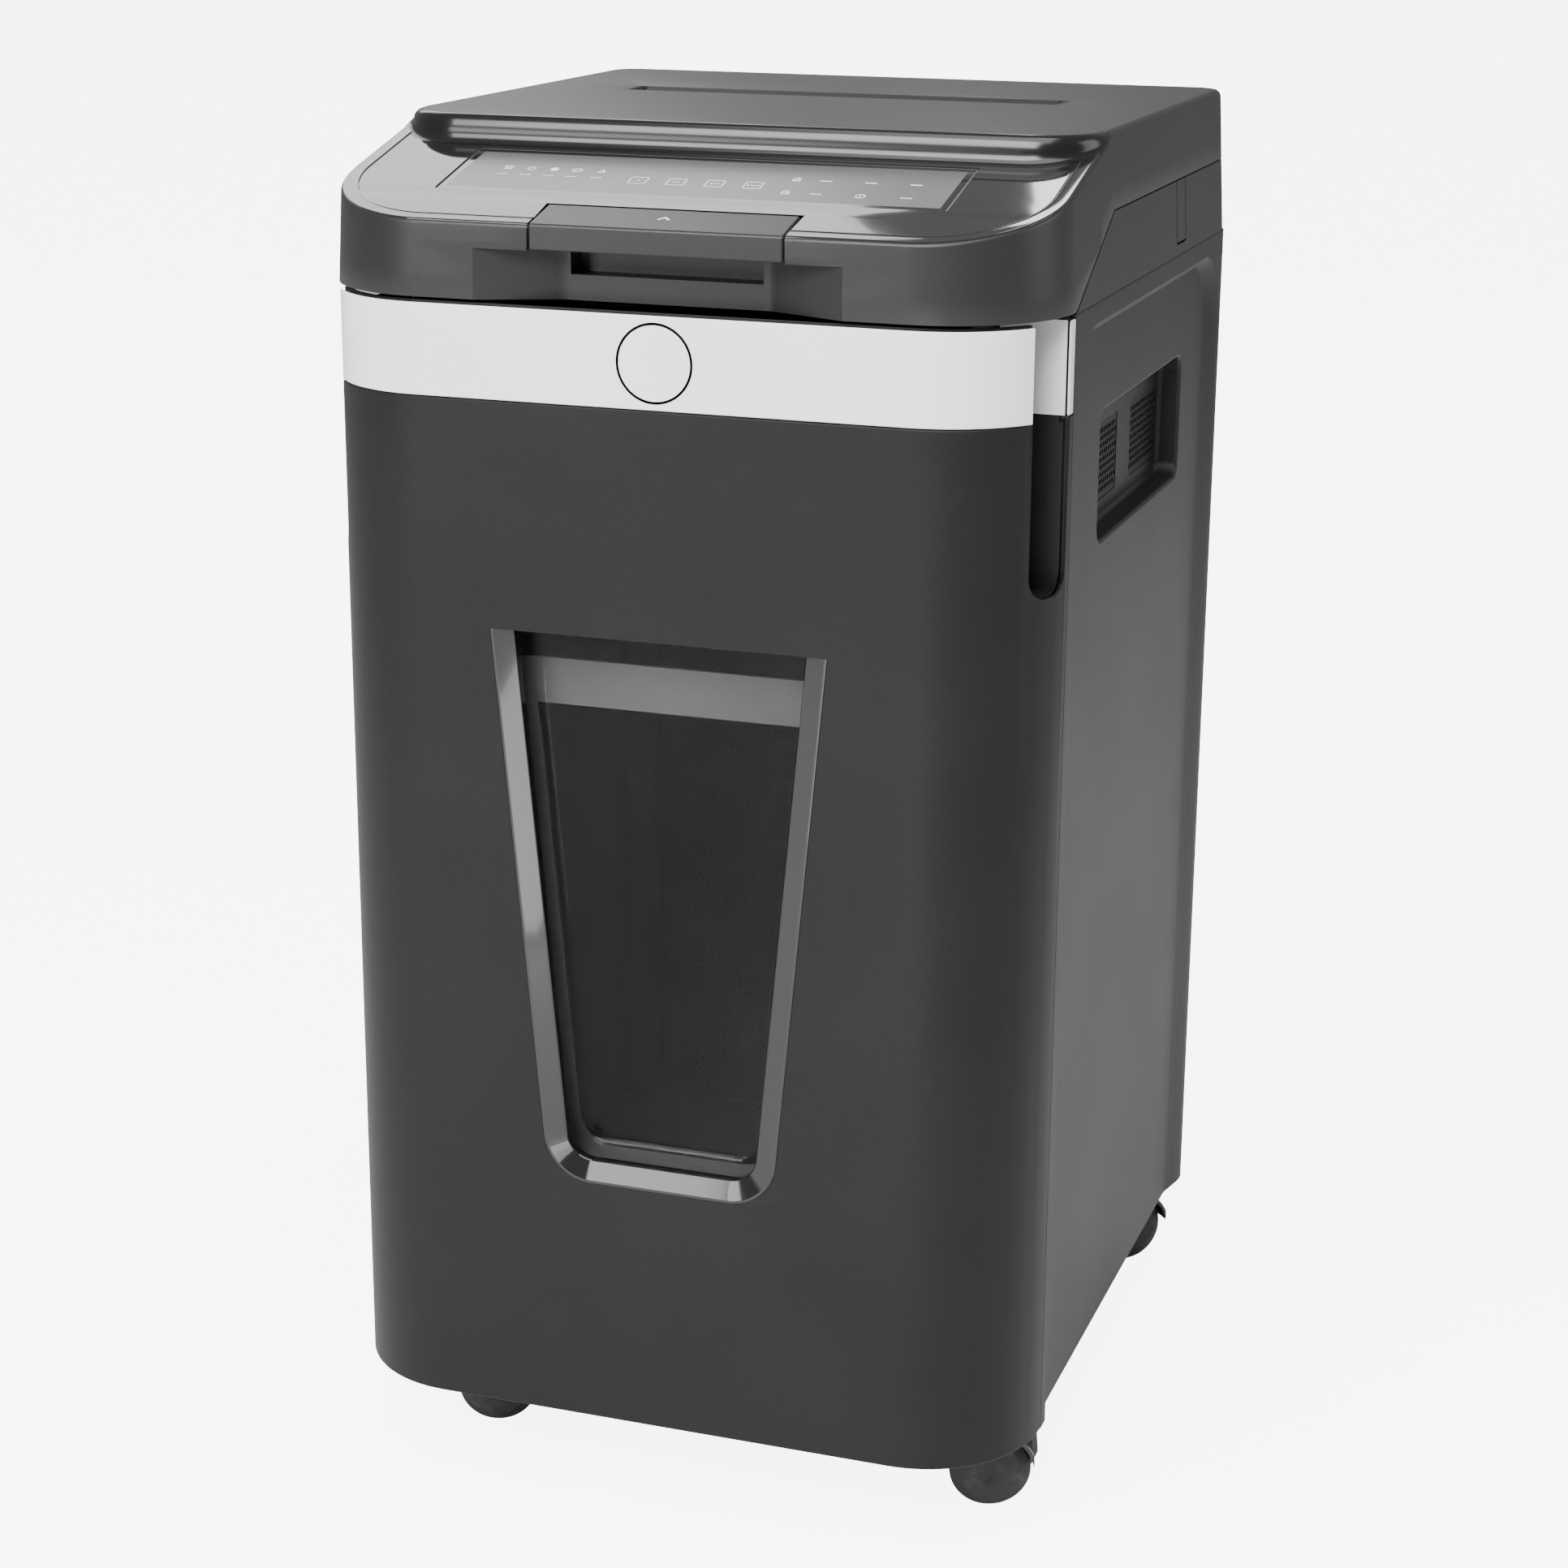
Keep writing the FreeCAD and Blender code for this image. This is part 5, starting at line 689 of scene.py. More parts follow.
# ---------------------------------------------------------------- drawer front
@dataclass
class DrawerFront:
    """Wrapped front of the pull-out drawer with its white band, badge and finger pockets."""

    box: Extent = field(default_factory=lambda: extent("bin_front"))
    band: Extent = field(default_factory=lambda: extent("front_band"))
    disc: Extent = field(default_factory=lambda: extent("badge"))
    corner_r: float = 68.0
    wall: float = 3.0
    edge: float = 1.4
    band_sink: float = 2.4
    pocket: Sequence[float] = (31.0, 62.0)
    pocket_end: float = 12.0
    pocket_height: float = 140.0
    pocket_x: float = 160.0
    arc_steps: int = 14

    def build(self) -> None:
        """Makes every piece of the front."""
        self._skin()
        self._band()
        self._pockets()
        self._badge()

    def _along(self, y: np.ndarray) -> np.ndarray:
        """Angle round the corner at which the skin lies y behind the face."""
        return np.arccos(np.clip((self.corner_r - y) / self.corner_r, -1, 1))

    def _plan(self, angle: np.ndarray, inset: float, side: float, tail: float = 0.0) -> np.ndarray:
        """Points of the corner's arc.

        At angle a the point is (c + (r - i) sin a, r - (r - i) cos a), with c the start of the arc,
        r its radius and i the inset. A tail adds the straight stretch up to the seam.

        Args:
            angle: Angles round the corner.
            inset: Distance inside the outer face.
            side: 1 for the right corner, -1 for the left.
            tail: Length of the straight stretch.

        Returns:
            Array (n, 2) of x and y.
        """
        start = self.box.high[0] - self.corner_r
        radius = self.corner_r - inset
        x = start + radius * np.sin(angle)
        y = self.corner_r - radius * np.cos(angle)
        if tail:
            x, y = np.append(x, x[-1]), np.append(y, y[-1] + tail)
        return np.column_stack([side * x, y])

    def _strip(self, sheet: Sheet, plan: Callable[[float], np.ndarray],
               rows: Sequence[tuple[float, float | np.ndarray]]) -> None:
        """Adds a grid whose rows are plan lines at an inset, each at a height or heights."""
        sheet.grid([Plane.XY.lift(plan(inset), z) for inset, z in rows])

    def _skin(self) -> None:
        """Lower skin up to the band, with a ledge behind the band and a notch at each pocket."""
        low, high = self.box.low[2], self.box.high[2]
        ledge = self.band.low[2] - 0.5
        notch = high - self.pocket_height
        notch_top = notch + self.pocket_end
        foot = [(a, low + b) for a, b in reversed(rounding(self.edge))]
        base = low + self.edge
        lower = [(0.0, base + (notch_top - base) * t) for t in (0.33, 0.66, 1.0)]
        upper = [(0.0, ledge - 0.6), (0.3, ledge - 0.15), (0.6, ledge), (self.band_sink, ledge),
                 (self.band_sink, high)]
        stops = self._along(np.array(self.pocket))
        sheet = Sheet()
        first = np.linspace(0, stops[0], self.arc_steps)
        last = np.linspace(stops[1], math.pi / 2, 4)
        for angles, tail in ((first, 0.0), (last, self.box.high[1] - self.corner_r)):
            self._strip(sheet, lambda i, a=angles, t=tail: self._plan(a, i, 1.0, t), foot + lower + upper)
        bend = self.pocket_end * (1 - np.cos(np.linspace(0, math.pi / 2, 6)))
        across = np.concatenate([self.pocket[0] + bend, (self.pocket[1] - bend)[::-1]])
        depth = self.pocket_end - np.minimum(across - self.pocket[0], self.pocket[1] - across).clip(0)
        sill = notch + self.pocket_end - np.sqrt(self.pocket_end ** 2 - depth.clip(0) ** 2)
        angles = self._along(across)
        floor_rows = [(a, np.full(len(across), z)) for a, z in foot]
        floor_rows += [(0.0, base + (sill - base) * t) for t in (0.33, 0.66, 1.0)]
        self._strip(sheet, lambda i: self._plan(angles, i, 1.0), floor_rows)
        sheet.mirror()
        flat = self.box.high[0] - self.corner_r
        ends = np.array([[-flat], [flat]])
        sheet.grid([np.column_stack([ends, [a, a], [z, z]]) for a, z in foot])
        sheet.grid([np.column_stack([ends, [a, a], [z, z]]) for a, z in [(0.0, ledge - 0.6)] + upper[1:]])
        heights = [base] + [z for _, z in lower] + [ledge - 0.6]
        rim = [(flat, z) for z in heights] + [(-flat, z) for z in reversed(heights)]
        hole = Plane.XZ.lift(Window().outline.loop(0.0), 0.0)
        sheet.fill(Plane.XZ.lift(np.array(rim), 0.0), hole)
        dress = Dress(Finish.FRONT, "drawer", "front_plastic", ("bin_front",), self.wall)
        sheet.make("drawer_front_skin", dress, (0, -1, 0.01))

    def _band_rows(self) -> list[tuple[float, float]]:
        """Inset and height of the band's profile, with softly rounded upper and lower edges."""
        low, high = self.band.low[2], self.band.high[2]
        up = [(a, high - b) for a, b in rounding(0.8)]
        return [(a, low + b) for a, b in reversed(rounding(0.8))] + up

    def _band(self) -> None:
        """White band: the long front piece and the short strips beside the seams."""
        stops = self._along(np.array(self.pocket))
        right = np.linspace(0, stops[0] - 0.004, self.arc_steps)
        rows = self._band_rows()

        def across(inset: float) -> np.ndarray:
            """Plan line from pocket to pocket."""
            half = self._plan(right, inset, 1.0)
            return np.concatenate([half[::-1] * [-1.0, 1.0], half])

        sheet = Sheet()
        self._strip(sheet, across, rows)
        dress = Dress(Finish.BAND, "drawer", "white_band", ("front_band",), 2.0, 0.35, 40.0)
        sheet.make("front_band_white", dress, (0, -1, 0))
        last = np.linspace(stops[1], math.pi / 2, 4)
        tail = self.box.high[1] - self.corner_r - 0.2
        strips = Sheet()
        self._strip(strips, lambda i: self._plan(last, i, 1.0, tail), rows)
        rear = self.pocket[1]
        plate = np.array([[self.pocket_x + 1.0, rear], [self.box.high[0] - 2.6, rear]])
        low, high = self.band.low[2], self.band.high[2]
        strips.grid([Plane.XY.lift(plate, z) for z in (low, high)])
        strips.mirror()
        strips.make("band_returns", Dress(Finish.BAND, "drawer", "white_band", (), 1.2, 0.3, 40.0), (0, -1, 0))

    def _pockets(self) -> None:
        """Dark lining of both finger pockets: floor, inner wall and rear wall."""
        low = self.box.high[2] - self.pocket_height
        high = self.box.high[2] - 0.6
        split = self.band.low[2]
        skin = self.box.high[0] - 2.6
        x, front, rear = self.pocket_x, 10.0, self.pocket[1] + 0.6
        sheet = Sheet()
        wall = np.array([[x, front], [x, rear - 4], [x + 1.2, rear - 1.2], [x + 4, rear]])
        sheet.grid([Plane.XY.lift(wall, z) for z in (low, high)])
        back = np.array([[x + 4, rear], [skin, rear]])
        sheet.grid([Plane.XY.lift(back, z) for z in (low, split)])
        start = self.corner_r - math.sqrt(self.corner_r ** 2 - (x - self.box.high[0] + self.corner_r) ** 2) + 5
        rim = self._plan(self._along(np.linspace(start, rear, 10)), 2.8, 1.0)
        sheet.fill(Plane.XY.lift(np.concatenate([rim, [[x, rear]]]), low))
        sheet.mirror()
        sheet.make("pocket_linings", Dress(Finish.INNER, "drawer", "front_plastic", (), 0.0, 0.0), None)

    def _badge(self) -> None:
        """Plain silver disc with a fine stepped rim, sunk a little into the band."""
        middle = self.disc.middle
        radius = (self.disc.high[0] - self.disc.low[0]) / 2 - 0.15
        face = self.disc.low[1]
        profile = [(radius, face + 1.4), (radius, face + 0.35), (radius - 0.25, face + 0.08),
                   (radius - 0.6, face), (radius - 2.0, face), (radius - 2.3, face + 0.3),
                   (radius * 0.62, face + 0.3), (radius * 0.60, face + 0.05), (radius * 0.52, face + 0.05),
                   (radius * 0.50, face + 0.3), (0.01, face + 0.3)]
        turn = np.linspace(0, 2 * math.pi, 73)[:-1]
        rows = [np.column_stack([middle[0] + r * np.cos(turn), np.full(72, y), middle[2] + r * np.sin(turn)])
                for r, y in profile]
        sheet = Sheet()
        sheet.grid(rows, closed=True)
        sheet.make("badge_disc", Dress(Finish.SILVER, "drawer", "silver", ("badge",)), (0, -1, 0))


@dataclass
class Window:
    """Gloss frame and clear tray of the bin window."""

    frame_box: Extent = field(default_factory=lambda: extent("window_bezel"))
    pane_box: Extent = field(default_factory=lambda: extent("window_pane"))
    taper: float = 0.0921
    corner_r: float = 28.0
    bezel: float = 12.5
    slope_depth: float = 3.6
    fit: float = 0.3

    @property
    def outline(self) -> Outline:
        """Opening in the drawer's skin: a trapezoid that narrows downwards, rounded below."""
        low, high = self.frame_box.low[2] - self.fit, self.frame_box.high[2] + self.fit
        top = self.frame_box.high[0] + self.fit
        narrow = top - self.taper * (high - low)
        corners = [(-narrow, low, self.corner_r), (narrow, low, self.corner_r), (top, high), (-top, high)]
        return Outline(corners, 16)

    def _ring(self, inset: float, depth: float, top: float = 0.0) -> np.ndarray:
        """Loop of the opening moved in by inset on three sides and by top at the upper edge."""
        return Plane.XZ.lift(self.outline.loop([inset, inset, top, inset]), depth)

    def build(self) -> None:
        """Makes the frame and the tray."""
        face = [(0.15, 5.0), (0.15, 0.5), (0.35, 0.15), (0.8, 0.02), (1.6, 0.0), (1.9, 0.1),
                (self.bezel - 0.5, self.slope_depth - 0.2), (self.bezel, self.slope_depth + 0.4),
                (self.bezel, 8.8)]
        sheet = Sheet()
        loops = [np.roll(self._ring(inset, depth, 0.15), 1, axis=0) for inset, depth in face]
        sheet.grid(loops)
        bezel = Dress(Finish.BEZEL, "drawer", "gloss_black", ("window_bezel",), 1.2)
        sheet.make("window_frame", bezel, (0, -1, 0))
        back = self.pane_box.high[1]
        start = self.bezel + 0.35
        curl = [(start + 2.2 + a, back - b) for a, b in rounding(5.5, 6)]
        wall = [(start - 5.0, 9.1), (start + 0.4, 9.1), (start + 0.9, 9.7), (start + 1.4, 12.0)] + curl
        tray = Sheet()
        tray.grid([self._ring(inset, depth, 1.2) for inset, depth in wall], closed=True)
        tray.fill(self._ring(wall[-1][0], wall[-1][1], 1.2))
        clear = Dress(Finish.CLEAR, "drawer", "clear_window", ("window_pane",), 1.6)
        tray.make("window_tray", clear, (0, -1, 0))


# ---------------------------------------------------------------- side panels
@dataclass
class SidePanel:
    """Side of the cabinet with its shallow dish, vent recess and wrapped rear edge."""

    node: str
    side: float
    box: Extent = field(default_factory=lambda: extent("side_panel_right"))
    rear_r: float = 14.0
    rear_lip: float = 30.0
    thick: float = 9.0
    dish_front: float = 80.0
    dish_top: float = 11.0
    dish_depth: float = 5.0
    dish_r: float = 46.0
    dish_slope: Sequence[float] = (5.5, 5.5, 31.0)
    vent_y: Sequence[float] = (153.0, 353.0)
    vent_z: Sequence[float] = (536.0, 607.0)
    vent_r: float = 9.0
    vent_depth: float = 18.5
    grille_y: Sequence[float] = (217.0, 316.0)
    grille_size: Sequence[float] = (66.0, 44.0)
    grille_low: float = 547.0

    def _lift(self, loop: Loop, depth: float) -> np.ndarray:
        """Places (y, z) points at a depth below the outer face."""
        placed = Plane.YZ.lift(loop, self.box.high[0] - depth)
        return placed * [self.side, 1.0, 1.0]

    def _dish(self) -> Outline:
        """Outer rim of the dish; its foot runs out below the panel's lower edge."""
        rear = self.box.high[1] - self.rear_r - 1.0
        low, top = self.box.low[2], self.box.high[2] - self.dish_top
        corners = [(rear, low), (rear, top, self.dish_r), (self.dish_front, top, self.dish_r * 0.8),
                   (self.dish_front, low)]
        return Outline(corners, 14)

    def build(self) -> None:
        """Makes the panel."""
        sheet = Sheet()
        front, low, top = self.box.low[1], self.box.low[2], self.box.high[2]
        arc_start = self.box.high[1] - self.rear_r
        dish = self._dish()
        rim = dish.loop(0.0)
        edge = 1.0
        around = np.array([(front + edge, low), (front + edge, top - edge),
                           (arc_start, top - edge), (arc_start, low)])
        sheet.fill(self._lift(np.concatenate([around, rim]), 0.0))
        slope = [(0.0, 0.0), (0.08, 0.02), (0.2, 0.1), (0.5, 0.5), (0.8, 0.9), (0.92, 0.98), (1.0, 1.0)]
        near, above, rear = self.dish_slope
        rows = [(dish.loop([rear * t, above * t, near * t, 0.0]), self.dish_depth * d) for t, d in slope]
        sheet.grid([self._lift(loop, depth) for loop, depth in rows])
        self._vent(sheet, rows[-1][0])
        self._rims(sheet, front, low, top, arc_start, edge)
        dress = Dress(Finish.SIDE, "cabinet", "side_plastic", (self.node,), 2.4, 0.4, 44.0)
        sheet.make(f"{self.node}_skin", dress, (self.side, 0, 0))

    def _vent(self, sheet: Sheet, floor: Loop) -> None:
        """Dish floor with the recess in it: rounded rim, wall, rounded foot and floor with two openings."""
        recess = rectangle(self.vent_y, self.vent_z, self.vent_r)
        lip = [(-2.2 * (1 - math.sin(t)), self.dish_depth + 2.2 * (1 - math.cos(t)))
               for t in np.linspace(0, math.pi / 2, 5)]
        foot = [(0.6 + a, self.vent_depth - b) for a, b in rounding(3.0)]
        rows = lip + foot
        sheet.grid([self._lift(recess.loop(inset), depth) for inset, depth in rows], closed=True)
        sheet.fill(self._lift(floor, self.dish_depth), self._lift(recess.loop(rows[0][0]), rows[0][1]))
        wide, high = self.grille_size
        holes = []
        for y in self.grille_y:
            hole = rectangle((y - wide / 2, y + wide / 2), (self.grille_low, self.grille_low + high), 3.0, 4)
            holes.append(self._lift(hole.loop(0.0), self.vent_depth))
        sheet.fill(self._lift(recess.loop(rows[-1][0]), self.vent_depth), *holes)

    def _rims(self, sheet: Sheet, front: float, low: float, top: float, arc_start: float, edge: float) -> None:
        """Rounded front and top edges, the front flange and the wrap round the rear corner."""
        half = self.box.high[0]
        turn = np.linspace(0, math.pi / 2, 4)
        bend = [(half - edge * (1 - math.sin(a)), front + edge * (1 - math.cos(a))) for a in turn]
        bend = [(half - self.thick, front), (half - edge, front)] + bend[1:]
        rows = [np.array([[self.side * x, y, low], [self.side * x, y, top - edge], [self.side * x, y, top]])
                for x, y in bend]
        sheet.grid(rows)
        sheet.grid([np.array([[self.side * (half - e), front + edge, top - edge + d],
                              [self.side * (half - e), arc_start, top - edge + d]])
                    for e, d in [(edge * (1 - math.cos(a)), edge * math.sin(a)) for a in turn]])
        turn = np.linspace(0, math.pi / 2, 9)
        radius = self.rear_r
        x = half - radius + radius * np.cos(turn)
        y = arc_start + radius * np.sin(turn)
        x, y = np.append(x, half - self.rear_lip), np.append(y, self.box.high[1])
        line = np.column_stack([self.side * x, y])
        sheet.grid([Plane.XY.lift(line, z) for z in (low, top - edge, top)])


# ---------------------------------------------------------------- lid
@dataclass
class Lid:
    """Lift-up lid: drafted sides, sloped gloss deck, concave step and flat roof."""

    box: Extent = field(default_factory=lambda: extent("lid_shell"))
    panel: Extent = field(default_factory=lambda: extent("side_panel_right"))
    lever: Extent = field(default_factory=lambda: extent("lift_lever"))
    scoop: Extent = field(default_factory=lambda: extent("grip_scoop"))
    touch: Extent = field(default_factory=lambda: extent("touch_panel"))
    liner: Extent = field(default_factory=lambda: extent("slot_liner"))
    split: float = 713.5
    draft: float = 4.5
    front_lean: float = 1.0
    rear_lean: float = 2.0
    corner_r: float = 68.0
    rear_r: float = 18.0
    deck_rise: float = 0.2586
    deck_front: float = 711.5
    step_y: float = 110.0
    step_r: float = 38.0
    diagonal: Sequence[float] = (69.4, 155.0)
    roof_edge: float = 4.0
    deck_edge: float = 2.2
    bead_inset: float = 9.0
    wall: float = 2.8
    lever_gap: float = 1.5
    rear_bevel: float = 4.5
    lining_drop: float = 3.4

    def deck(self, y: np.ndarray | float) -> np.ndarray | float:
        """Height of the sloped deck: it rises in proportion to the distance behind the face."""
        return self.deck_front + self.deck_rise * y

    def _plan(self, inset: float) -> Loop:
        """Half of the plan line from the middle of the front round the right side to the rear middle.

        The line is straight, a front corner arc, straight along the side, a rear corner arc and straight.
        Each column keeps its meaning at any inset, so that grids can be carried along it.
        """
        half = self.panel.high[0] - inset
        back = self.panel.high[1] - inset
        front_r, rear_r = self.corner_r - inset, self.rear_r - inset
        turn = np.linspace(0, math.pi / 2, 19)
        front = np.column_stack([half - front_r + front_r * np.sin(turn), inset + front_r * (1 - np.cos(turn))])
        turn = np.linspace(0, math.pi / 2, 9)
        rear = np.column_stack([half - rear_r + rear_r * np.cos(turn), back - rear_r + rear_r * np.sin(turn)])
        start = np.array([[x, inset] for x in self._front_stops()])
        side_y = np.concatenate([np.linspace(72, 140, 12), np.linspace(144, 152, 9), [155.0, 200.0, 300.0, 400.0]])
        side = np.column_stack([np.full(len(side_y), half), side_y])
        return np.concatenate([start, front, side, rear, [[0.0, back]]])

    def _front_stops(self) -> list[float]:
        """Columns on the flat front: the lever's notch edge and the scoop's seam."""
        return [self.lever_half + self.lever_gap, self.scoop.high[0] + 0.3]

    @property
    def lever_half(self) -> float:
        """Half width of the lever's plate, without its pins."""
        return 68.0

    def _leaned(self, plan: Loop, z: np.ndarray | float) -> np.ndarray:
        """Applies the draft: the sides, front and rear lean in with height above the side panels.

        With t the height's share of the way from the side panels' top to the roof, x shrinks by
        (half - draft t) / half, and y is squeezed from the front lean times t to the rear lean times t.
        """
        level = np.broadcast_to(z, (len(plan),)).astype(float)
        share = (level - self.panel.high[2]) / (self.box.high[2] - self.panel.high[2])
        half, depth = self.panel.high[0], self.panel.high[1]
        x = plan[:, 0] * (half - self.draft * share) / half
        y = self.front_lean * share + plan[:, 1] * (depth - (self.front_lean + self.rear_lean) * share) / depth
        return np.column_stack([x, y, level])

    def _side_top(self, plan: Loop) -> np.ndarray:
        """Height of the side's upper edge: the deck's slope, then a quick rise to the roof."""
        y = plan[:, 1]
        end = self.step_y + self.step_r
        rise = np.clip((y - (end - 4)) / 8, 0, 1)
        rise = rise * rise * (3 - 2 * rise)
        deck = np.minimum(self.deck(y), self.box.high[2])
        return deck * (1 - rise) + self.box.high[2] * rise

    def _side_bottom(self, plan: Loop) -> np.ndarray:
        """Height of the lower edge: level in front, then up the diagonal to the split line."""
        low = self.scoop.low[2]
        start, stop = self.diagonal
        share = np.clip((plan[:, 1] - start) / (stop - start), 0, 1)
        return low + (self.split - low) * share

    def build(self) -> None:
        """Makes the shell, the gloss cover, the deck's underside and the lever."""
        self._shell()
        self._gloss()
        self._lining()
        self._lever()

    def _step_line(self, back: float) -> Loop:
        """Plan line of the step, moved back by a distance, from the middle to the right side."""
        half = self.panel.high[0] - self.draft * 0.95
        radius = self.step_r - back
        turn = np.linspace(0, math.pi / 2, 15)
        arc = np.column_stack([np.minimum(half - self.step_r + radius * np.sin(turn), half),
                               self.step_y + back + radius * (1 - np.cos(turn))])
        return np.concatenate([[[0.0, self.step_y + back]], arc])

    def _shell(self) -> None:
        """Matt shell: sides with a rounded upper edge, then the roof behind the step."""
        sheet = Sheet()
        base = self._plan(0.0)
        bottom, top = self._side_bottom(base), self._side_top(base)
        scoop_top = self.scoop.high[2] + 0.3
        middle = np.maximum(bottom, scoop_top)
        edge = np.where(base[:, 1] > self.step_y + self.step_r, self.roof_edge, self.deck_edge)
        bevel = np.clip(base[:, 1] - (self.panel.high[1] - self.rear_bevel - 0.5), 0, self.rear_bevel)
        lower = [self._leaned(self._inset_rows(bevel), bottom)[1:]]
        lower += [self._leaned(base, bottom + bevel + (middle - bottom) * t)[1:] for t in (0, 0.5, 1)]
        sheet.grid(lower)
        middle = middle + bevel
        upper = [self._leaned(base, middle + (top - edge - middle) * t) for t in (0, 0.33, 0.66, 1.0)]
        for a in np.linspace(0, math.pi / 2, 6)[1:]:
            ring = self._inset_rows(edge * (1 - math.cos(a)))
            upper.append(self._leaned(ring, top - edge * (1 - math.sin(a))))
        sheet.grid(upper)
        roof_from = int(np.argmax(base[:, 1] > self.step_y + self.step_r + 3.5))
        ring = self._inset_rows(edge)
        outer = self._leaned(ring, self.box.high[2])[roof_from:]
        rim = self._step_line(6.0)
        rim3 = np.column_stack([rim, np.full(len(rim), self.box.high[2])])
        loop = np.concatenate([rim3, outer])
        whole = np.concatenate([loop, loop[::-1][1:-1] * [-1.0, 1.0, 1.0]])
        roof = Sheet()
        roof.fill(whole, self._mouth(0.25))
        front_part = slice(0, roof_from)
        under = []
        for extra, drop in [(0.0, 0.0), (1.0, 0.15), (1.6, 1.2), (6.0, 1.6)]:
            ring = self._inset_rows(edge + extra)
            under.append(self._leaned(ring, top - drop)[front_part])
        sheet.grid(under)
        sheet.mirror()
        sheet.patch(np.concatenate(roof.points), roof.faces)
        dress = Dress(Finish.LID, "lid", "lid_plastic", ("lid_shell",), self.wall)
        sheet.make("lid_shell_skin", dress, (0, -0.2, 1))

    def _mouth(self, grow: float) -> np.ndarray:
        """Edge of the roof's opening for the slot's lining."""
        low, high = self.liner.low, self.liner.high
        outline = rectangle((low[0] - grow, high[0] + grow), (low[1] - grow, high[1] + grow), 4.0)
        return Plane.XY.lift(outline.loop(0.0), self.box.high[2])

    def _inset_rows(self, inset: np.ndarray | float) -> Loop:
        """Plan line with an inset of its own at each column."""
        near, far = self._plan(0.0), self._plan(1.0)
        return near + (far - near) * np.broadcast_to(inset, (len(near),))[:, None]

    def _gloss(self) -> None:
        """Polished cover: rim, bead, deck with the touch strip's opening, and the concave step."""
        sheet = Sheet()
        base = self._plan(0.0)
        stop = int(np.argmax(base[:, 1] > self.step_y + self.step_r - 3.0))
        rim = self.bead_inset
        profile = [(1.0, -0.9), (1.15, 0.02), (1.7, 0.25), (2.4, 0.3), (rim - 1.6, 0.25), (rim - 1.0, 0.55),
                   (rim - 0.5, 0.62), (rim, 0.5), (rim + 0.5, 0.05), (rim + 0.9, 0.0)]
        rows = []
        for inset, lift in profile:
            ring = self._inset_rows(inset)
            rows.append(self._leaned(ring, self.deck(ring[:, 1]) + lift - 0.3)[:stop])
        sheet.grid(rows)
        sheet.mirror()
        self._deck(sheet, rows[-1])
        dress = Dress(Finish.GLOSS, "lid", "gloss_black", ("gloss_panel",))
        sheet.make("deck_cover", dress, (0, -0.5, 1))
        step = Sheet()
        self._step(step)
        step.make("step_cover", Dress(Finish.LIP, "lid", "gloss_black"), (0, -1, 0.3))

    def _lining(self) -> None:
        """Plain underside of the deck, seen when the lid is open."""
        low = self.lever.high[1] + 2 * self.lever_gap
        span = np.array([low, 60.0, self.step_y - 4.0])
        half = np.array([self._front_stops()[1] + 42.0, 188.0, 190.0])
        sheet = Sheet()
        for drop in (self.lining_drop, self.lining_drop + 1.0):
            sheet.grid([np.array([[-x, y, self.deck(y) - drop], [x, y, self.deck(y) - drop]])
                        for x, y in zip(half, span)])
        sheet.make("deck_underside", Dress(Finish.LID, "lid", "lid_plastic"), (0, 0, 1))

    def _deck(self, sheet: Sheet, edge: np.ndarray) -> None:
        """Flat sloped deck between the bead, the lever's notch, the touch opening and the step."""
        step = self._step_line(-5.0)
        step3 = np.column_stack([step, self.deck(step[:, 1]) - 0.3])
        keep = step3[:, 0] < edge[-1, 0] - 0.5
        step3 = step3[keep]
        notch_x = self._front_stops()[0]
        notch_y = self.lever.high[1] + self.lever_gap
        notch = np.array([[notch_x, notch_y, self.deck(notch_y) - 0.3]])
        half = np.concatenate([notch, edge, step3[::-1]])
        whole = np.concatenate([half, half[::-1][1:] * [-1.0, 1.0, 1.0]])
        touch = rectangle((self.touch.low[0] - 0.5, self.touch.high[0] + 0.5),
                          (self.touch.low[1] - 0.5, self.touch.high[1] + 0.5), 2.2)
        loop = touch.loop(0.0)
        hole = np.column_stack([loop, self.deck(loop[:, 1]) - 0.3])
        sheet.fill(whole, hole)
        lip = touch.loop(0.3)
        sheet.grid([hole, np.column_stack([lip, self.deck(lip[:, 1]) - 0.5]),
                    np.column_stack([lip, self.deck(lip[:, 1]) - 3.0])], closed=True)

    def _step(self, sheet: Sheet) -> None:
        """Concave step: an S from the deck, hollow below and rounded at the roof's lip.

        Across the step the height share is (1 - cos(pi t)) / 2 with t sharpened about its middle, and the
        place behind the step line runs from -5 mm to +6 mm.
        """
        roof = self.box.high[2]
        rows = []
        for t in np.linspace(0, 1, 15):
            share = (1 - math.cos(math.pi * (0.35 * t + 0.65 * t ** 1.3))) / 2
            back = -5.0 + 11.0 * (0.5 + 0.5 * math.copysign(abs(2 * t - 1) ** 1.7, 2 * t - 1))
            line = self._step_line(back)
            level = (self.deck(line[:, 1]) - 0.3) * (1 - share) + roof * share
            rows.append(np.column_stack([line, level]))
        sheet.grid(rows)
        sheet.grid([row * [-1.0, 1.0, 1.0] for row in rows])

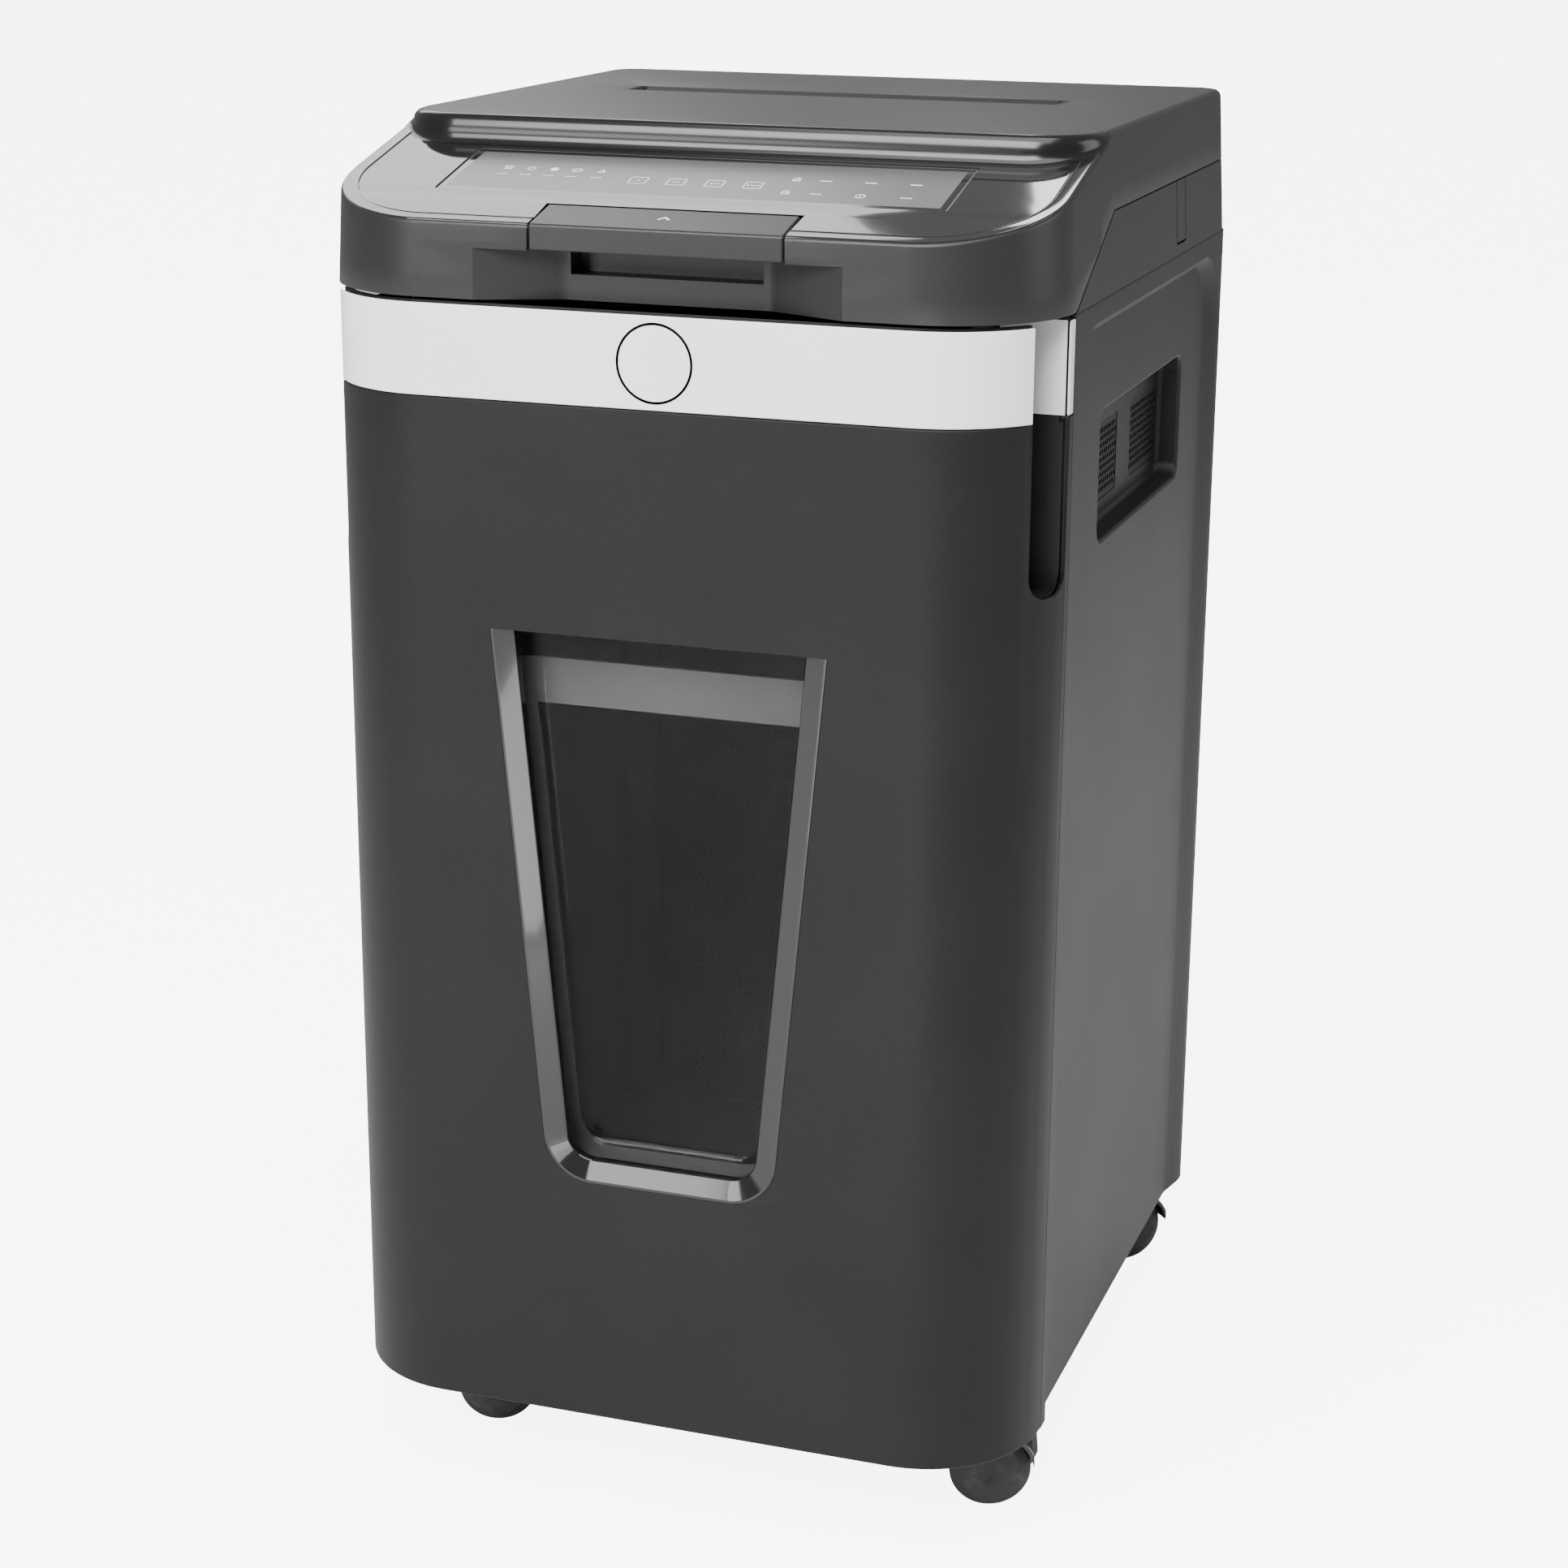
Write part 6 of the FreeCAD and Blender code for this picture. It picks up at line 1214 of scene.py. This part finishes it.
    def _lever(self) -> None:
        """Lift lever: a plate flush with the deck, with softened edges and a raised arrow that glows as a painted
        highlight.
        """
        x = self.lever_half
        y_low, y_high = self.lever.low[1], self.lever.high[1]
        low = self.scoop.high[2] + 0.9
        sheet = Sheet()
        rows = []
        outline = rectangle((-x, x), (y_low + 0.5, y_high), 1.4)
        for inset, level in [(0.5, low), (0.0, low + 0.6)]:
            loop = outline.loop(inset)
            rows.append(np.column_stack([loop, np.full(len(loop), level)]))
        for a, b in rounding(1.3, 4):
            loop = outline.loop(a)
            rows.append(np.column_stack([loop, self.deck(loop[:, 1]) - b]))
        sheet.grid(rows, closed=True)
        sheet.fill(rows[0])
        sheet.fill(rows[-1])
        dress = Dress(Finish.LID, "lever", "lid_plastic", ("lift_lever",))
        sheet.make("lift_lever_plate", dress)
        arrow = Sheet()
        middle = y_high * 0.55
        for side in (-1.0, 1.0):
            stroke = np.array([[0.0, middle + 2.6], [side * 3.4, middle - 0.8], [side * 2.6, middle - 1.6],
                               [0.0, middle + 1.0]])
            arrow.fill(np.column_stack([stroke, self.deck(stroke[:, 1]) + 0.08]))
        # The arrow takes the glowing ink, though nothing lights it from behind: a painted highlight.
        arrow.make("lever_arrow", Dress(Finish.INK, "lever", "lid_plastic"), (0, 0, 1))


@dataclass
class TouchStrip:
    """Glass strip of the controls, with a dark border and plain printed marks."""

    lid: Lid = field(default_factory=Lid)
    box: Extent = field(default_factory=lambda: extent("touch_panel"))
    drop: float = 0.9
    border: float = 4.5
    print_lift: float = 0.12
    status_x: Sequence[float] = (-111.0, -98.0, -85.0, -72.0, -58.0)
    key_x: Sequence[float] = (-34.0, -13.0, 8.0, 29.0)
    right_x: Sequence[float] = (49.0, 65.0, 89.0, 113.0)
    upper_y: float = 77.0
    lower_y: float = 59.0

    def _place(self, loop: Loop, lift: float) -> np.ndarray:
        """Puts plan points on the glass, raised by a little."""
        return np.column_stack([loop, self.lid.deck(loop[:, 1]) - self.drop + lift])

    def build(self) -> None:
        """Makes the glass, its border and its marks."""
        edge = rectangle((self.box.low[0], self.box.high[0]), (self.box.low[1], self.box.high[1]), 2.0)
        glass = Sheet()
        rows = [self._place(edge.loop(a), -b) for a, b in rounding(0.4, 3)]
        glass.grid([self._place(edge.loop(0.0), -1.5)] + rows, closed=True)
        glass.fill(rows[-1])
        glass.make("touch_glass", Dress(Finish.GLASS, "lid", "touch_glass", ("touch_panel",)), (0, 0, 1))
        frame_rim = Sheet()
        self._ring(frame_rim, edge, 0.9, self.border, 0.06)
        frame_rim.make("touch_border", Dress(Finish.BEZEL, "lid", "touch_glass"), (0, 0, 1))
        marks = Sheet()
        self._status(marks)
        self._keys(marks)
        self._commands(marks)
        marks.make("touch_marks", Dress(Finish.INK, "lid", "touch_glass"), (0, 0, 1))

    def _ring(self, sheet: Sheet, outline: Outline, start: float, stop: float, lift: float) -> None:
        """Flat ring between two insets of an outline."""
        sheet.grid([self._place(outline.loop(start), lift), self._place(outline.loop(stop), lift)], closed=True)

    def _dash(self, sheet: Sheet, x: float, y: float, wide: float, high: float = 1.0) -> None:
        """Short bar centred on a point."""
        bar = rectangle((x - wide / 2, x + wide / 2), (y - high / 2, y + high / 2), high * 0.45, 3)
        sheet.fill(self._place(bar.loop(0.0), self.print_lift))

    def _disc(self, sheet: Sheet, x: float, y: float, radius: float, hollow: float = 0.0) -> None:
        """Dot, or a ring of the given line width."""
        turn = np.linspace(0, 2 * math.pi, 25)[:-1]
        circle = np.column_stack([np.cos(turn), np.sin(turn)])
        outer = self._place(circle * radius + [x, y], self.print_lift)
        if hollow:
            inner = self._place(circle * (radius - hollow) + [x, y], self.print_lift)
            sheet.grid([outer, inner], closed=True)
        else:
            sheet.fill(outer)

    def _status(self, sheet: Sheet) -> None:
        """Five status lights, each a simple sign over a dash."""
        for number, x in enumerate(self.status_x):
            y = self.upper_y
            if number == 0:
                for k in range(3):
                    self._dash(sheet, x, y - 1.8 + 1.8 * k, 5.0, 0.8)
            elif number == 1:
                self._disc(sheet, x, y, 2.3, 0.7)
            elif number == 2:
                self._disc(sheet, x, y, 2.2)
            elif number == 3:
                self._ring(sheet, rectangle((x - 2.6, x + 2.6), (y - 2.0, y + 2.0), 0.8, 3), 0.0, 0.7,
                           self.print_lift)
            else:
                corners = [(x - 2.4, y - 1.8), (x + 2.4, y - 1.8), (x, y + 2.4)]
                self._ring(sheet, Outline(corners), 0.0, 0.7, self.print_lift)
            self._dash(sheet, x, y - 9.0, 6.5, 0.7)

    def _keys(self, sheet: Sheet) -> None:
        """Four keys: rounded frames that hold one to four dots."""
        y = (self.upper_y + self.lower_y) / 2 - 1.0
        for number, x in enumerate(self.key_x):
            self._ring(sheet, rectangle((x - 5.0, x + 5.0), (y - 4.6, y + 4.6), 1.6, 5), 0.0, 0.6, self.print_lift)
            for dot in range(number + 1):
                self._disc(sheet, x + (dot - number / 2) * 1.9, y, 0.6)

    def _commands(self, sheet: Sheet) -> None:
        """Two rows at the right: rings and dashes."""
        first = self.right_x[0]
        for x in self.right_x[1:]:
            self._dash(sheet, x, self.upper_y, 6.5, 1.1)
        for y in (self.upper_y, self.lower_y):
            self._ring(sheet, rectangle((first - 2.2, first + 2.2), (y - 1.7, y + 1.3), 0.5, 3), 0.0, 0.7,
                       self.print_lift)
            self._disc(sheet, first, y + 1.9, 1.5, 0.5)
        for x in (self.right_x[1], self.right_x[3]):
            for k in (-1, 0, 1):
                self._disc(sheet, x + 2.2 * k, self.lower_y, 0.9, 0.4)
        self._disc(sheet, self.right_x[2], self.lower_y, 2.7, 0.6)
        self._dash(sheet, self.right_x[2], self.lower_y, 0.7, 2.4)


# ---------------------------------------------------------------- room, light and camera
@dataclass
class Studio:
    """Pale floor, soft lights and the camera."""

    lens: float = 73.8
    spot: Sequence[float] = (581.2, -1500.1, 912.2)
    yaw: float = 18.80
    pitch: float = 16.87
    roll: float = 0.375
    floor_size: float = 60.0
    fill_light: float = 0.32
    backdrop_light: float = 7.0
    floor_light: float = 6.6

    def build(self) -> None:
        """Makes the floor, the lights, the surroundings and the camera."""
        self._floor()
        self._sky()
        self._lamp("top", (0.2, -1.2, 3.2), (0.0, 0.0, 0.4), (2.2, 2.2), 70.0)
        self._lamp("front_top", (-0.4, -2.7, 2.6), (0.0, 0.0, 0.5), (2.4, 1.6), 195.0)
        self._lamp("side", (2.6, 0.6, 1.5), (0.1, 0.0, 0.4), (1.4, 2.0), 22.0)
        self._lamp("front", (-1.25, -2.7, 0.95), (0.0, 0.0, 0.35), (0.9, 0.8), 20.0)
        self._lamp("back", (-1.8, 2.3, 2.4), (0.0, 0.0, 0.7), (1.7, 1.5), 27.0)
        self._lamp("streak", (-0.55, 2.3, 2.3), (0.0, 0.0, 0.7), (0.08, 1.3), 2.6)
        self._lamp("kicker", (0.1, -1.35, 0.12), (-0.09, -0.22, 0.45), (0.34, 0.22), 1.1)
        self._camera()

    def _floor(self) -> None:
        """A large flat floor."""
        half = self.floor_size / 2
        mesh = bpy.data.meshes.new("floor")
        corners = [(-half, -half, 0.0), (half, -half, 0.0), (half, half, 0.0), (-half, half, 0.0)]
        mesh.from_pydata(corners, [], [(0, 1, 2, 3)])
        floor = bpy.data.objects.new("floor", mesh)
        bpy.context.scene.collection.objects.link(floor)
        graph = Graph("floor_pale")
        soft = graph.noise(3.0)
        graph.feed("Base Color", graph.blend(soft, (0.80, 0.80, 0.80), (0.83, 0.83, 0.83)))
        graph.feed("Roughness", soft * 0.1 + 0.5)
        graph.feed("Emission Color", (1.0, 1.0, 1.0, 1.0))
        seen = graph.node("ShaderNodeLightPath", {}, {}, "Is Camera Ray")
        graph.feed("Emission Strength", seen * self.floor_light)
        mesh.materials.append(graph.material)

    def _sky(self) -> None:
        """Even white surroundings."""
        world = bpy.data.worlds.new("studio")
        bpy.context.scene.world = world
        world.use_nodes = True
        tree = world.node_tree
        backdrop = tree.nodes["Background"]
        backdrop.inputs["Color"].default_value = (1.0, 1.0, 1.0, 1.0)
        strength = tree.nodes.new("ShaderNodeMapRange")
        strength.inputs["To Min"].default_value = self.fill_light
        strength.inputs["To Max"].default_value = self.backdrop_light
        path = tree.nodes.new("ShaderNodeLightPath")
        tree.links.new(path.outputs["Is Camera Ray"], strength.inputs["Value"])
        tree.links.new(strength.outputs["Result"], backdrop.inputs["Strength"])

    def _lamp(self, name: str, spot: Sequence[float], aim: Sequence[float], size: Sequence[float],
              watts: float) -> None:
        """One rectangular soft light."""
        data = bpy.data.lights.new(name, "AREA")
        data.shape = "RECTANGLE"
        data.size, data.size_y = size
        data.energy = watts
        lamp = bpy.data.objects.new(name, data)
        lamp.location = spot
        lamp.rotation_euler = (Vector(aim) - Vector(spot)).to_track_quat("-Z", "Y").to_euler()
        bpy.context.scene.collection.objects.link(lamp)

    def _camera(self) -> None:
        """Camera at the viewing angle of a customer in front of the machine, to its right."""
        data = bpy.data.cameras.new("camera")
        data.lens = self.lens
        data.sensor_width = 36.0
        camera = bpy.data.objects.new("camera", data)
        yaw, pitch, roll = (math.radians(a) for a in (self.yaw, self.pitch, self.roll))
        turn = Matrix.Rotation(yaw, 4, "Z") @ Matrix.Rotation(math.pi / 2 - pitch, 4, "X")
        turn = turn @ Matrix.Rotation(roll, 4, "Z")
        shift = Vector((self.spot[0], self.spot[1] + FRONT, self.spot[2])) * MM
        camera.matrix_world = Matrix.Translation(shift) @ turn
        bpy.context.scene.collection.objects.link(camera)
        bpy.context.scene.camera = camera


def main() -> None:
    """Builds the machine's looks piece by piece, then the room."""
    logging.basicConfig(level=logging.INFO, format="%(name)s %(message)s")
    CadFinishes().apply()
    DrawerFront().build()
    Window().build()
    SidePanel("side_panel_right", 1.0).build()
    SidePanel("side_panel_left", -1.0).build()
    Lid().build()
    TouchStrip().build()
    Studio().build()


if __name__ == "__main__":
    main()
